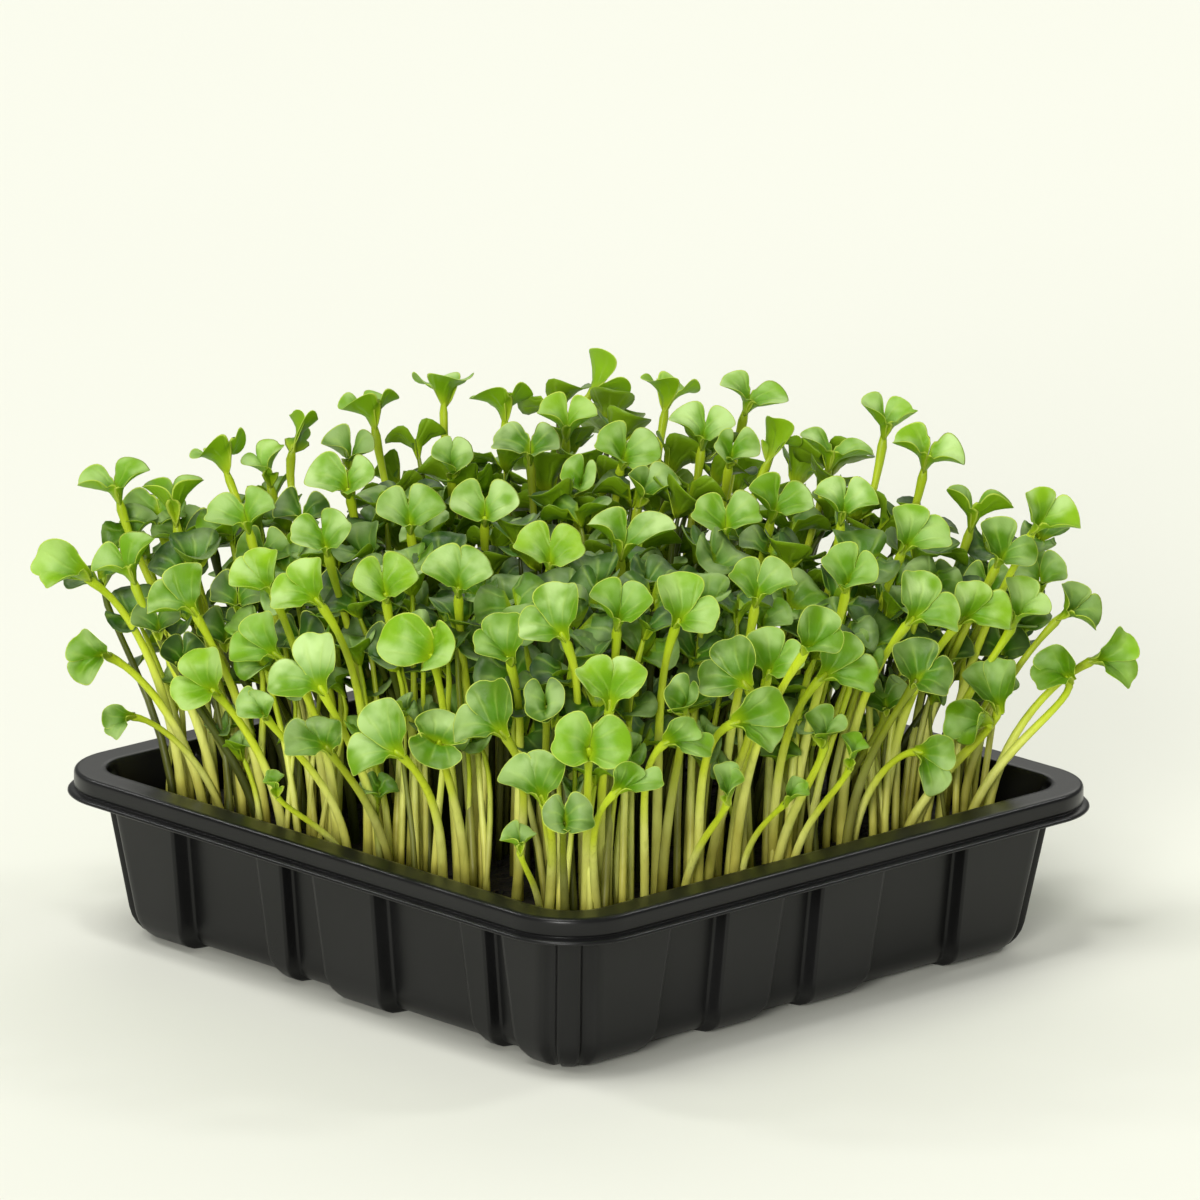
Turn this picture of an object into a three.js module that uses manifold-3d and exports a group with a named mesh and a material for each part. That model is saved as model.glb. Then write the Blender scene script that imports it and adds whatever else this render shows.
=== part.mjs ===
// A square black tray of microgreens: a moulded tray, the growing medium in it,
// and the seedlings that root in the medium. Millimetres, +Z up, origin at the
// centre of the tray's underside.
import * as THREE from 'three';
import * as BufferGeometryUtils from 'three/addons/utils/BufferGeometryUtils.js';
import Module from 'manifold-3d';

const wasm = await Module();
wasm.setup();

// Tray
const RIM_SIDE = 130;
const TRAY_HEIGHT = 30;
const RIM_CORNER_RADIUS = 13.2;
const FLANGE_WIDTH = 5.2;
const MOUTH_ROUND = 1.2;
const EDGE_ROUND = 0.5;
const BAND_HEIGHT = 4.3;
const BAND_LIP = 1.1;
const LIP_HEIGHT = 0.9;
const SHEET = 0.9;
const BODY_HALF = 60.3;
const BODY_CORNER_RADIUS = 8.4;
const DRAFT_ANGLE = 7.9;
const FOOT_ROUND = 5.3;
const FLANK = 0.5;
const TAPER = 1.2;
const CORNER_STEPS = 4;

// How far a wall's levels lie behind the faces of its pilasters
const RECESS = 2.4;
const DEEP_RECESS = 3.1;
// The recesses run out behind the band, from this height and over this rise, inside a bit higher
const RELIEF_TOP = 25.2;
const RELIEF_FADE = 2.6;
const FADE_LIFT = 0.6;
const RIB = 1;

// Where a wall steps to another level, in mm from its middle, and that level. The +X
// and -X walls have two pilasters between the corners, the others one and two low ribs
const STEPS_X_WALLS = [
  [-35, RECESS], [-23, 0], [-8.5, RECESS], [-0.6, 0], [15.4, RECESS], [34, 0],
];
const STEPS_Y_WALLS = [
  [-37.5, DEEP_RECESS], [-18.8, RIB], [-11.4, DEEP_RECESS], [-3.6, 0],
  [12.3, DEEP_RECESS], [31.3, RIB], [38.3, DEEP_RECESS], [42.6, 0],
];

// Growing medium
const MEDIUM_TOP = 22.5;
const CLEARANCE = 0.3;
const SOCKET_DEPTH = 4.5;
const SOCKET_PLAY = 0.25;

// Seedlings
const STEM_RADIUS = 0.95;
const STEM_SIDES = 5;
const STEM_STEPS = 4;
const LEAF_LENGTH = 7.7;
const LEAF_WIDTH = 9.2;
const LEAF_THICKNESS = 0.55;
const LEAF_CUP = 1.3;
const SMALL_EDGE = 0.08;
const ROOT_SPREAD = 0.8;
const ROOT_LIMIT = 49.5;

// How much less a pair's upward opening counts once it faces the viewer in full
const SHOWN_FACE = 0.45;

// The view in which the seedlings were measured: a long lens above the near corner
const VIEW = {
  azimuth: 45.75,
  elevation: 15.2,
  roll: 0.76,
  distance: 2000,
  millimetresPerPixel: 0.1712,
  rimCentre: [578.6, 773.9],
};

const TRAY_BLACK = { color: 0x1f1f20, roughness: 0.42, metalness: 0 };
const SOIL_BROWN = { color: 0x1a120b, roughness: 0.95, metalness: 0 };
const LEAF_GREEN = { color: 0x6fa52a, roughness: 0.5, metalness: 0 };

const azimuth = THREE.MathUtils.degToRad(VIEW.azimuth);
const elevation = THREE.MathUtils.degToRad(VIEW.elevation);
const roll = THREE.MathUtils.degToRad(VIEW.roll);
const UP = new THREE.Vector3(0, 0, 1);
const viewRight = new THREE.Vector3(Math.cos(azimuth), Math.sin(azimuth), 0);
const nearward = new THREE.Vector3(Math.sin(azimuth), -Math.cos(azimuth), 0);
const toViewer = nearward.clone().multiplyScalar(Math.cos(elevation))
  .addScaledVector(UP, Math.sin(elevation));
const viewUp = new THREE.Vector3().crossVectors(toViewer, viewRight);

// Sideways and upward millimetres in the picture plane, from a pixel
function pictureOffset([x, y]) {
  const across = (x - VIEW.rimCentre[0]) * VIEW.millimetresPerPixel;
  const up = (VIEW.rimCentre[1] - y) * VIEW.millimetresPerPixel;
  return [
    across * Math.cos(roll) - up * Math.sin(roll),
    across * Math.sin(roll) + up * Math.cos(roll),
  ];
}

// The point seen at a pixel whose distance toward the near corner is row
function pointAt(pixel, row) {
  const [across, up] = pictureOffset(pixel);
  const sin = Math.sin(elevation);
  const cos = Math.cos(elevation);
  const nearer = 1 - (row * cos) / VIEW.distance;
  const height = (up * nearer + row * sin) / (cos + (up * sin) / VIEW.distance);
  const scale = 1 - (row * cos + height * sin) / VIEW.distance;
  return new THREE.Vector3(0, 0, TRAY_HEIGHT + height)
    .addScaledVector(viewRight, across * scale)
    .addScaledVector(nearward, row);
}

// A seedling as seen: the joint of its two seed leaves, its row, the tip of each
// leaf with how far that leaf turns toward the viewer (1) or away (-1), how far
// the pair faces the viewer, and the stem's root where it isn't straight below
function seen(joint, row, left, right, facing, root) {
  return { joint, row, left, right, facing, root };
}

const SEEDLINGS = [
  seen([592, 396], -84, [591, 351, 0.3], [632, 400, -0.3], -0.6),
  seen([443, 402], -64, [421, 384, -0.8], [462, 384, 0.8], -0.2),
  seen([504, 420], -66, [470, 401, 0.5], [532, 401, -0.5], -0.2),
  seen([373, 424], -52, [338, 411, 0.6], [398, 403, -0.4], 0),
  seen([666, 408], -70, [644, 384, 0.6], [696, 397, -0.6], -0.1),
  seen([746, 410], -57, [720, 382, 0.4], [790, 401, 0.4], 0.3),
  seen([772, 458], -46, [775, 417, 0.3], [800, 446, -0.4], -0.5),
  seen([884, 432], -34, [858, 402, 0.5], [917, 408, -0.2], 0.4),
  seen([925, 464], -22, [889, 441, 0.2], [966, 463, 0.3], 0.2),
  seen([830, 464], -38, [797, 437, 0.3], [875, 452, 0.2], 0.1),
  seen([702, 444], -46, [670, 416, 0.3], [736, 423, 0.4], 0.5),
  seen([566, 436], -50, [533, 412, 0.4], [600, 414, 0.4], 0.4),
  seen([622, 462], -32, [594, 440, 0.6], [662, 450, 0.5], 0.6),
  seen([293, 447], -38, [288, 412, -0.3], [320, 417, -0.5], -0.4),
  seen([224, 467], -22, [194, 458, 0.5], [239, 452, -0.7], 0.1),
  seen([268, 480], -24, [243, 461, 0.4], [282, 441, 0.2], 0.3),
  seen([118, 495], -10, [75, 484, 0.3], [148, 464, 0.3], 0.3),
  seen([176, 517], -6, [141, 484, 0.2], [204, 476, 0.2], 0.2),
  seen([132, 574], 10, [90, 568, 0.3], [154, 533, 0.2], 0.4),
  seen([82, 576], 3, [33, 553, 0.3], [42, 585, 0.8], 0.6),
  seen([102, 653], 9, [76, 632, 0.4], [80, 682, 0.4], 0.5),
  seen([192, 606], 18, [192, 559, 0.3], [146, 608, 0.4], 0.8),
  seen([212, 686], 24, [205, 643, 0.4], [175, 702, 0.6], 0.8),
  seen([270, 584], 28, [272, 543, 0.3], [228, 577, 0.5], 0.7),
  seen([274, 648], 37, [262, 606, 0.3], [229, 651, 0.5], 0.8),
  seen([316, 594], 38, [311, 552, 0.3], [269, 594, 0.5], 0.8),
  seen([320, 681], 51, [321, 625, 0.2], [267, 679, 0.3], 0.9),
  seen([248, 523], 6, [203, 511, 0.4], [276, 500, 0.3], 0.5),
  seen([348, 489], -12, [304, 476, 0.3], [374, 472, 0.5], 0.5),
  seen([410, 523], 10, [375, 504, 0.6], [444, 498, 0.4], 0.6),
  seen([485, 516], 2, [449, 498, 0.6], [520, 497, 0.5], 0.6),
  seen([550, 559], 31, [514, 536, 0.5], [586, 538, 0.5], 0.7),
  seen([459, 583], 43, [424, 557, 0.5], [493, 561, 0.5], 0.8),
  seen([386, 589], 42, [353, 573, 0.6], [418, 565, 0.4], 0.7),
  seen([326, 544], 24, [289, 530, 0.5], [350, 515, 0.3], 0.6),
  seen([562, 626], 66, [566, 574, 0.2], [518, 623, 0.4], 0.9),
  seen([508, 651], 61, [507, 605, 0.3], [472, 641, 0.6], 0.8),
  seen([432, 649], 57, [380, 630, 0.2], [455, 648, 0.9], 0.9),
  seen([622, 549], 20, [588, 518, 0.4], [676, 520, 0.2], 0.5),
  seen([726, 527], 10, [692, 505, 0.4], [765, 511, 0.4], 0.6),
  seen([773, 513], -4, [748, 484, 0.4], [816, 501, 0.4], 0.5),
  seen([842, 515], 2, [815, 485, 0.4], [880, 498, 0.4], 0.5),
  seen([848, 580], 36, [824, 548, 0.4], [879, 571, 0.6], 0.6),
  seen([618, 615], 56, [590, 585, 0.5], [652, 588, 0.5], 0.7),
  seen([680, 613], 58, [668, 567, 0.3], [719, 617, 0.5], 0.8),
  seen([757, 593], 45, [730, 564, 0.4], [798, 574, 0.4], 0.7),
  seen([827, 669], 41, [842, 623, 0.3], [879, 682, 0.3], 0.9),
  seen([906, 543], 14, [900, 502, 0.4], [954, 535, 0.3], 0.8),
  seen([914, 614], 26, [914, 565, 0.2], [962, 622, 0.3], 0.8),
  seen([965, 614], 17, [968, 577, 0.4], [1013, 622, 0.3], 0.8),
  seen([1016, 619], 8, [1010, 573, 0.3], [1052, 610, 0.5], 0.5),
  seen([1036, 525], 2, [1028, 487, 0.4], [1082, 523, 0.3], 0.6),
  seen([1098, 658], 0, [1128, 628, 0.4], [1136, 682, 0.3], 0.6),
  seen([972, 523], -10, [943, 488, 0.2], [1017, 509, 0.2], 0.1),
  seen([611, 693], 74, [583, 655, 0.3], [641, 657, 0.3], 0.9),
  seen([590, 741], 80, [553, 729, 0.6], [632, 736, 0.5], 1.2),
];

// A closed surface through rings of equally many points, ends closed by fans
function loft(rings) {
  const count = rings[0].length;
  const positions = rings.flat().flatMap((p) => [p.x, p.y, p.z]);
  const index = [];
  for (let ring = 0; ring + 1 < rings.length; ring += 1) {
    for (let i = 0; i < count; i += 1) {
      const a = ring * count + i;
      const b = ring * count + ((i + 1) % count);
      index.push(a, b, b + count, a, b + count, a + count);
    }
  }
  const capEnds = [[0, 1], [rings.length - 1, -1]];
  for (const [ring, side] of capEnds) {
    const centre = positions.length / 3;
    const middle = rings[ring].reduce((sum, p) => sum.add(p), new THREE.Vector3()).divideScalar(count);
    positions.push(middle.x, middle.y, middle.z);
    for (let i = 0; i < count; i += 1) {
      const a = ring * count + i;
      const b = ring * count + ((i + 1) % count);
      index.push(...(side > 0 ? [centre, b, a] : [centre, a, b]));
    }
  }
  const geometry = new THREE.BufferGeometry();
  geometry.setAttribute('position', new THREE.Float32BufferAttribute(positions, 3));
  geometry.setIndex(index);
  return geometry;
}

// Half the outer side of the body at a height above the base
function bodyHalf(z) {
  return BODY_HALF - (TRAY_HEIGHT - z) * Math.tan(THREE.MathUtils.degToRad(DRAFT_ANGLE));
}

// The points where one wall steps between its levels: along the wall, and the level
function wallStations(steps, narrower) {
  let before = 0;
  return steps.flatMap(([along, after]) => {
    const rising = Math.sign(before - after);
    const middle = along + rising * narrower;
    const stations = [[middle - FLANK / 2, before], [middle + FLANK / 2, after]];
    before = after;
    return stations;
  });
}

// One ring round the tray: a rounded square whose walls are stepped back by a share
// of their relief, with every raised part narrower at each side
function trayRing(half, radius, z, relief, narrower) {
  const ring = [];
  const straight = half - radius;
  for (let side = 0; side < 4; side += 1) {
    const turn = (side * Math.PI) / 2;
    const place = (x, y) => ring.push(
      new THREE.Vector3(x, y, z).applyAxisAngle(UP, turn),
    );
    for (let step = 0; step <= CORNER_STEPS; step += 1) {
      const angle = -Math.PI / 2 + (step * Math.PI) / 2 / CORNER_STEPS;
      place(straight + radius * Math.cos(angle), -straight + radius * Math.sin(angle));
    }
    const steps = side % 2 === 0 ? STEPS_X_WALLS : STEPS_Y_WALLS;
    for (const [along, level] of wallStations(steps, narrower)) {
      place(half - level * relief, along);
    }
  }
  return ring;
}

// A ring of the body at a height, set in from its outer surface
function bodyRing(z, inset, relief = 1) {
  const lowness = (TRAY_HEIGHT - z) / TRAY_HEIGHT;
  const depth = Math.min(inset, BODY_CORNER_RADIUS - 1);
  const narrower = TAPER * lowness + Math.min(inset, 2 * SHEET);
  return trayRing(bodyHalf(z) - inset, BODY_CORNER_RADIUS - depth, z, relief, narrower);
}

function makeTray() {
  const rimHalf = RIM_SIDE / 2;
  const bandBottom = TRAY_HEIGHT - BAND_HEIGHT;
  const underFlange = TRAY_HEIGHT - SHEET;
  const rim = (outset, z) => trayRing(rimHalf + outset, RIM_CORNER_RADIUS + outset, z, 0, 0);
  return loft([
    bodyRing(0, FOOT_ROUND),
    bodyRing(FOOT_ROUND * 0.13, FOOT_ROUND * 0.5),
    bodyRing(FOOT_ROUND * 0.5, FOOT_ROUND * 0.13),
    bodyRing(FOOT_ROUND, 0),
    bodyRing(RELIEF_TOP, 0),
    bodyRing(RELIEF_TOP + RELIEF_FADE, 0, 0),
    bodyRing(underFlange, 0, 0),
    rim(-SHEET, underFlange),
    rim(-SHEET, bandBottom + LIP_HEIGHT),
    rim(BAND_LIP - SHEET, bandBottom),
    rim(BAND_LIP, bandBottom),
    rim(0, bandBottom + LIP_HEIGHT),
    rim(0, TRAY_HEIGHT - EDGE_ROUND),
    rim(-EDGE_ROUND, TRAY_HEIGHT),
    rim(-FLANGE_WIDTH, TRAY_HEIGHT),
    bodyRing(TRAY_HEIGHT - MOUTH_ROUND, SHEET, 0),
    bodyRing(RELIEF_TOP + FADE_LIFT + RELIEF_FADE, SHEET, 0),
    bodyRing(RELIEF_TOP + FADE_LIFT, SHEET),
    bodyRing(FOOT_ROUND + SHEET, SHEET),
    bodyRing(SHEET, FOOT_ROUND + SHEET / 2),
  ]);
}

function solidOf(geometry) {
  const bare = geometry.clone();
  bare.deleteAttribute('normal');
  bare.deleteAttribute('uv');
  const merged = BufferGeometryUtils.mergeVertices(bare, 1e-4);
  return new wasm.Manifold(new wasm.Mesh({
    numProp: 3,
    vertProperties: new Float32Array(merged.attributes.position.array),
    triVerts: new Uint32Array(merged.index.array),
  }));
}

function geometryOf(solid) {
  const mesh = solid.getMesh();
  const geometry = new THREE.BufferGeometry();
  geometry.setAttribute('position', new THREE.BufferAttribute(mesh.vertProperties, 3));
  geometry.setIndex(new THREE.BufferAttribute(mesh.triVerts, 1));
  return geometry;
}

// Where a seedling's stem meets the top of the medium
function rootOf(seedling) {
  const joint = pointAt(seedling.joint, seedling.row);
  const across = seedling.root ? seedling.root[0] : joint.dot(viewRight) * ROOT_SPREAD;
  const near = seedling.root ? seedling.root[1] : joint.dot(nearward) * ROOT_SPREAD;
  const root = new THREE.Vector3(0, 0, MEDIUM_TOP)
    .addScaledVector(viewRight, across)
    .addScaledVector(nearward, near);
  root.x = THREE.MathUtils.clamp(root.x, -ROOT_LIMIT, ROOT_LIMIT);
  root.y = THREE.MathUtils.clamp(root.y, -ROOT_LIMIT, ROOT_LIMIT);
  return root;
}

// The direction of a seed leaf, from the pixel of its tip and its turn toward the viewer
function leafDirection(seedling, [tipX, tipY, turn]) {
  const [fromAcross, fromUp] = pictureOffset(seedling.joint);
  const [toAcross, toUp] = pictureOffset([tipX, tipY]);
  const across = toAcross - fromAcross;
  const up = toUp - fromUp;
  const seenLength = Math.hypot(across, up);
  const depth = Math.sqrt(Math.max(0, LEAF_LENGTH ** 2 - seenLength ** 2)) * turn;
  return new THREE.Vector3()
    .addScaledVector(viewRight, across)
    .addScaledVector(viewUp, up)
    .addScaledVector(toViewer, depth);
}

// The way a pair of seed leaves opens, turned to the viewer, and the way its stem arrives
function pairAxes(seedling, directions) {
  const between = directions[0].clone().normalize()
    .add(directions[1].clone().normalize())
    .addScaledVector(UP, 0.5);
  const openness = 1 - SHOWN_FACE * THREE.MathUtils.clamp(seedling.facing, 0, 1);
  const facing = between.clone().multiplyScalar(openness)
    .addScaledVector(toViewer, seedling.facing).normalize();
  const axis = between.addScaledVector(toViewer, seedling.facing * 0.4).normalize();
  return { facing, axis };
}

// A seed leaf's edge from the joint to the notched tip: along, half width
const LEAF_STATIONS = [[0, 0.09], [0.36, 0.36], [0.72, 0.52], [1, 0.27]];
const NOTCH_DEPTH = 0.14;

// One seed leaf as a thin cupped plate, notched at its tip
function makeLeaf(joint, direction, facing) {
  const length = direction.length();
  const along = direction.clone().normalize();
  const normal = facing.clone().addScaledVector(along, -facing.dot(along)).normalize();
  const sideways = new THREE.Vector3().crossVectors(normal, along);
  const last = LEAF_STATIONS.length - 1;
  const at = (station, side, layer) => {
    const [reach, halfWidth] = LEAF_STATIONS[station];
    const notch = station === last && side === 0 ? NOTCH_DEPTH : 0;
    const across = side * halfWidth;
    const cup = LEAF_CUP * (across ** 2) * 4;
    return joint.clone()
      .addScaledVector(along, (reach - notch) * length)
      .addScaledVector(sideways, across * LEAF_WIDTH)
      .addScaledVector(normal, cup + (layer - 0.5) * LEAF_THICKNESS);
  };
  const outline = [];
  for (let station = 0; station <= last; station += 1) outline.push([station, 1]);
  outline.push([last, 0]);
  for (let station = last; station >= 0; station -= 1) outline.push([station, -1]);
  const middle = LEAF_STATIONS.map((_, station) => [station, 0]).slice(1, last);
  const points = [...outline, ...middle];
  const key = (station, side) => points.findIndex((p) => p[0] === station && p[1] === side);
  const faces = [
    [key(0, 1), key(0, -1), key(1, 0)],
    [key(0, 1), key(1, 0), key(1, 1)],
    [key(0, -1), key(1, -1), key(1, 0)],
  ];
  for (let station = 1; station < last; station += 1) {
    for (const side of [1, -1]) {
      const quad = [key(station, 0), key(station + 1, 0), key(station + 1, side), key(station, side)];
      const turned = side > 0 ? quad : quad.reverse();
      faces.push([turned[0], turned[1], turned[2]], [turned[0], turned[2], turned[3]]);
    }
  }
  const count = points.length;
  const positions = [1, 0].flatMap((layer) => points.map((p) => at(p[0], p[1], layer)));
  const index = [];
  for (const [a, b, c] of faces) index.push(a, b, c, a + count, c + count, b + count);
  for (let i = 0; i < outline.length; i += 1) {
    const next = (i + 1) % outline.length;
    index.push(i, next, next + count, i, next + count, i + count);
  }
  const geometry = new THREE.BufferGeometry();
  const flat = positions.flatMap((p) => [p.x, p.y, p.z]);
  geometry.setAttribute('position', new THREE.Float32BufferAttribute(flat, 3));
  geometry.setIndex(index);
  return geometry;
}

// A stem that leaves the medium upright and bends into the leaves' joint
function makeStem(root, joint, facing) {
  const foot = root.clone().addScaledVector(UP, -(SOCKET_DEPTH - CLEARANCE));
  const rise = joint.z - root.z;
  const path = new THREE.CubicBezierCurve3(
    foot,
    root.clone().addScaledVector(UP, rise * 0.45),
    joint.clone().addScaledVector(facing, -rise * 0.25),
    joint.clone().addScaledVector(facing, STEM_RADIUS * 0.5),
  );
  const section = new THREE.Shape(Array.from({ length: STEM_SIDES }, (_, i) => {
    const angle = (i * 2 * Math.PI) / STEM_SIDES;
    return new THREE.Vector2(Math.cos(angle), Math.sin(angle)).multiplyScalar(STEM_RADIUS);
  }));
  return new THREE.ExtrudeGeometry(section, { steps: STEM_STEPS, extrudePath: path });
}

function makeSeedling(seedling) {
  const joint = pointAt(seedling.joint, seedling.row);
  const directions = [seedling.left, seedling.right].map((tip) => leafDirection(seedling, tip));
  const { facing, axis } = pairAxes(seedling, directions);
  let solid = solidOf(makeStem(rootOf(seedling), joint, axis));
  for (const direction of directions) {
    solid = solid.add(solidOf(makeLeaf(joint, direction, facing)));
  }
  return geometryOf(solid.simplify(SMALL_EDGE));
}

function makeMedium() {
  const gap = SHEET + CLEARANCE;
  let solid = solidOf(loft([
    bodyRing(gap, FOOT_ROUND + gap + 1),
    bodyRing(gap + FOOT_ROUND, gap),
    bodyRing(MEDIUM_TOP - 1, gap),
    bodyRing(MEDIUM_TOP, gap + 1),
  ]));
  const socketRadius = (STEM_RADIUS + CLEARANCE + SOCKET_PLAY) / Math.cos(Math.PI / STEM_SIDES);
  for (const seedling of SEEDLINGS) {
    const socket = new THREE.CylinderGeometry(socketRadius, socketRadius, 2 * SOCKET_DEPTH, STEM_SIDES);
    socket.rotateX(Math.PI / 2);
    const root = rootOf(seedling);
    socket.translate(root.x, root.y, root.z);
    solid = solid.subtract(solidOf(socket));
  }
  return geometryOf(solid);
}

const tray = new THREE.Group();

function place(name, geometry, finish) {
  const mesh = new THREE.Mesh(geometry, new THREE.MeshStandardMaterial(finish));
  mesh.name = name;
  tray.add(mesh);
}

place('tray', makeTray(), TRAY_BLACK);
place('growing_medium', makeMedium(), SOIL_BROWN);
SEEDLINGS.forEach((seedling, i) => {
  place(`seedling_${String(i + 1).padStart(2, '0')}`, makeSeedling(seedling), LEAF_GREEN);
});

export default tray;
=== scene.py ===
"""A square black tray of microgreens: tray, growing medium and a dense stand of seedlings."""
import logging
import math
import random
from dataclasses import dataclass, field
from enum import Enum
from itertools import product
from typing import Any, Callable, Iterable, Sequence

import bmesh
import bpy
from mathutils import Matrix, Vector, noise


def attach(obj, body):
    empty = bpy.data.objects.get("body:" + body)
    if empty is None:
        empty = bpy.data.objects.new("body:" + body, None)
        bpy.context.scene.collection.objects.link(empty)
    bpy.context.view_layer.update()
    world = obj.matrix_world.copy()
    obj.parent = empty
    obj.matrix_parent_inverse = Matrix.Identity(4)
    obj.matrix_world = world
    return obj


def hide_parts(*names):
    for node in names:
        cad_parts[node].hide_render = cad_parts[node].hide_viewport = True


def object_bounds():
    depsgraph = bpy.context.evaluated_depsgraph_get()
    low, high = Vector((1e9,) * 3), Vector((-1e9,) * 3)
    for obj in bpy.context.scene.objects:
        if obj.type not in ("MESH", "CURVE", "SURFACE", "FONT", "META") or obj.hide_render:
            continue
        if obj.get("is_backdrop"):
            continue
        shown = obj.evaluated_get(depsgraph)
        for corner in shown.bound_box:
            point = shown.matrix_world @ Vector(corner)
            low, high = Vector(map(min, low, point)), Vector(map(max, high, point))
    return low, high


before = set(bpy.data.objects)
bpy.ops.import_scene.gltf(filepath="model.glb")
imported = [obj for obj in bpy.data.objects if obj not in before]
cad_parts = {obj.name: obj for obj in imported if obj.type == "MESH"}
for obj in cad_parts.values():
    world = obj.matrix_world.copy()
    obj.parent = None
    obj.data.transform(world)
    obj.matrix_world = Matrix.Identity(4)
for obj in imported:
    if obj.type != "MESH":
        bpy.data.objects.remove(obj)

CAD_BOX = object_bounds()
LOG = logging.getLogger("microgreens")

MM = 0.001
UP = Vector((0.0, 0.0, 1.0))
Pair = tuple[float, float]
Triple = tuple[float, float, float]
Colour = Triple
Material = bpy.types.Material
Mesh = bmesh.types.BMesh
Place = Callable[[float, float], tuple[Vector, Sequence[float]]]

TRAY_HEIGHT = 30.0
MEDIUM_TOP = 22.5
ROOT_DEPTH = 4.0
ROOT_SPREAD = 0.8
ROOT_LIMIT = 49.5
LEAF_LENGTH = 7.7
LEAF_WIDTH = 9.3
STEM_RADIUS = 0.95
SHOWN_FACE = 0.45
ATTRIBUTES = ("along", "across", "margin", "upper", "tone", "wax")


def clamp(value: float, low: float, high: float) -> float:
    """Return the value kept between low and high."""
    return min(high, max(low, value))


def smooth_step(low: float, high: float, value: float) -> float:
    """Return 0 below low, 1 above high and a smooth rise between them."""
    share = clamp((value - low) / (high - low), 0.0, 1.0)
    return share * share * (3.0 - 2.0 * share)


def quarter(steps: int) -> Iterable[Pair]:
    """Give 1 - cosine and the sine at even steps through a quarter turn."""
    for step in range(steps):
        angle = step * math.pi / 2 / (steps - 1)
        yield 1.0 - math.cos(angle), math.sin(angle)


def stem_radius(size: float) -> float:
    """Return the stem's radius under leaves of a size beside the usual one."""
    return STEM_RADIUS * (0.35 + 0.5 * size)


def stray(draw: random.Random, reach: float = 1.0) -> Vector:
    """Draw a level vector whose two parts lie within a reach."""
    return Vector((draw.uniform(-reach, reach), draw.uniform(-reach, reach), 0.0))


@dataclass
class View:
    """The long-lens view above the near corner in which the seedlings were measured.

    Lengths are millimetres and angles are degrees. Pixels are those of a 1200 by 1200 frame.
    """

    azimuth: float = 45.75
    elevation: float = 15.2
    roll: float = 0.76
    distance: float = 2000.0
    mm_per_pixel: float = 0.1712
    rim_centre: Pair = (578.6, 773.9)
    frame_size: float = 1200.0

    def __post_init__(self) -> None:
        """Find the view's directions: level ones to the right and nearward, and the two others."""
        azimuth, elevation = math.radians(self.azimuth), math.radians(self.elevation)
        self.right = Vector((math.cos(azimuth), math.sin(azimuth), 0.0))
        self.nearward = Vector((math.sin(azimuth), -math.cos(azimuth), 0.0))
        self.to_viewer = self.nearward * math.cos(elevation) + UP * math.sin(elevation)
        self.up = self.to_viewer.cross(self.right)

    def offset(self, pixel: Pair) -> tuple[float, float]:
        """Turn a pixel into millimetres across and up the picture plane.

        Args:
            pixel: Column and row in the 1200 by 1200 frame.

        Returns:
            The distances right of and above the rim's centre.
        """
        across = (pixel[0] - self.rim_centre[0]) * self.mm_per_pixel
        up = (self.rim_centre[1] - pixel[1]) * self.mm_per_pixel
        angle = math.radians(self.roll)
        return (
            across * math.cos(angle) - up * math.sin(angle),
            across * math.sin(angle) + up * math.cos(angle),
        )

    def point_at(self, pixel: Pair, row: float) -> Vector:
        """Find the point seen at a pixel.

        Args:
            pixel: Column and row in the 1200 by 1200 frame.
            row: How far the point stands toward the near corner, in millimetres.

        Returns:
            The point in millimetres, in the CAD frame.
        """
        across, up = self.offset(pixel)
        sin, cos = math.sin(math.radians(self.elevation)), math.cos(math.radians(self.elevation))
        nearer = 1.0 - row * cos / self.distance
        height = (up * nearer + row * sin) / (cos + up * sin / self.distance)
        scale = 1.0 - (row * cos + height * sin) / self.distance
        level = self.right * (across * scale) + self.nearward * row
        return level + UP * (TRAY_HEIGHT + height)


VIEW = View()


def node_operator(operation: str, swapped: bool = False) -> Callable[..., "Socket"]:
    """Make a Socket method that adds a Math node.

    Args:
        operation: The Math node's operation.
        swapped: Whether the socket is the last of the values instead of the first.

    Returns:
        The method.
    """
    def apply(self: "Socket", *others: Any) -> "Socket":
        """Add the Math node and return its result."""
        values = (*others, self) if swapped else (self, *others)
        return self.tree.add("ShaderNodeMath", {"operation": operation}, dict(enumerate(values)))

    return apply


class Socket:
    """A node socket whose arithmetic adds Math nodes to its tree."""

    __add__ = __radd__ = node_operator("ADD")
    __sub__ = node_operator("SUBTRACT")
    __rsub__ = node_operator("SUBTRACT", swapped=True)
    __mul__ = node_operator("MULTIPLY")
    __truediv__ = node_operator("DIVIDE")
    __abs__ = node_operator("ABSOLUTE")
    sine = node_operator("SINE")

    def __init__(self, tree: "NodeTree", socket: bpy.types.NodeSocket) -> None:
        """Keep a socket with the tree that it belongs to."""
        self.tree = tree
        self.socket = socket

    def between(self, low: float, high: float) -> "Socket":
        """Return 0 at low, 1 at high and a smooth rise between them."""
        values = {"Value": self, "From Min": low, "From Max": high}
        return self.tree.add("ShaderNodeMapRange", {"interpolation_type": "SMOOTHSTEP"}, values)


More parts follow.
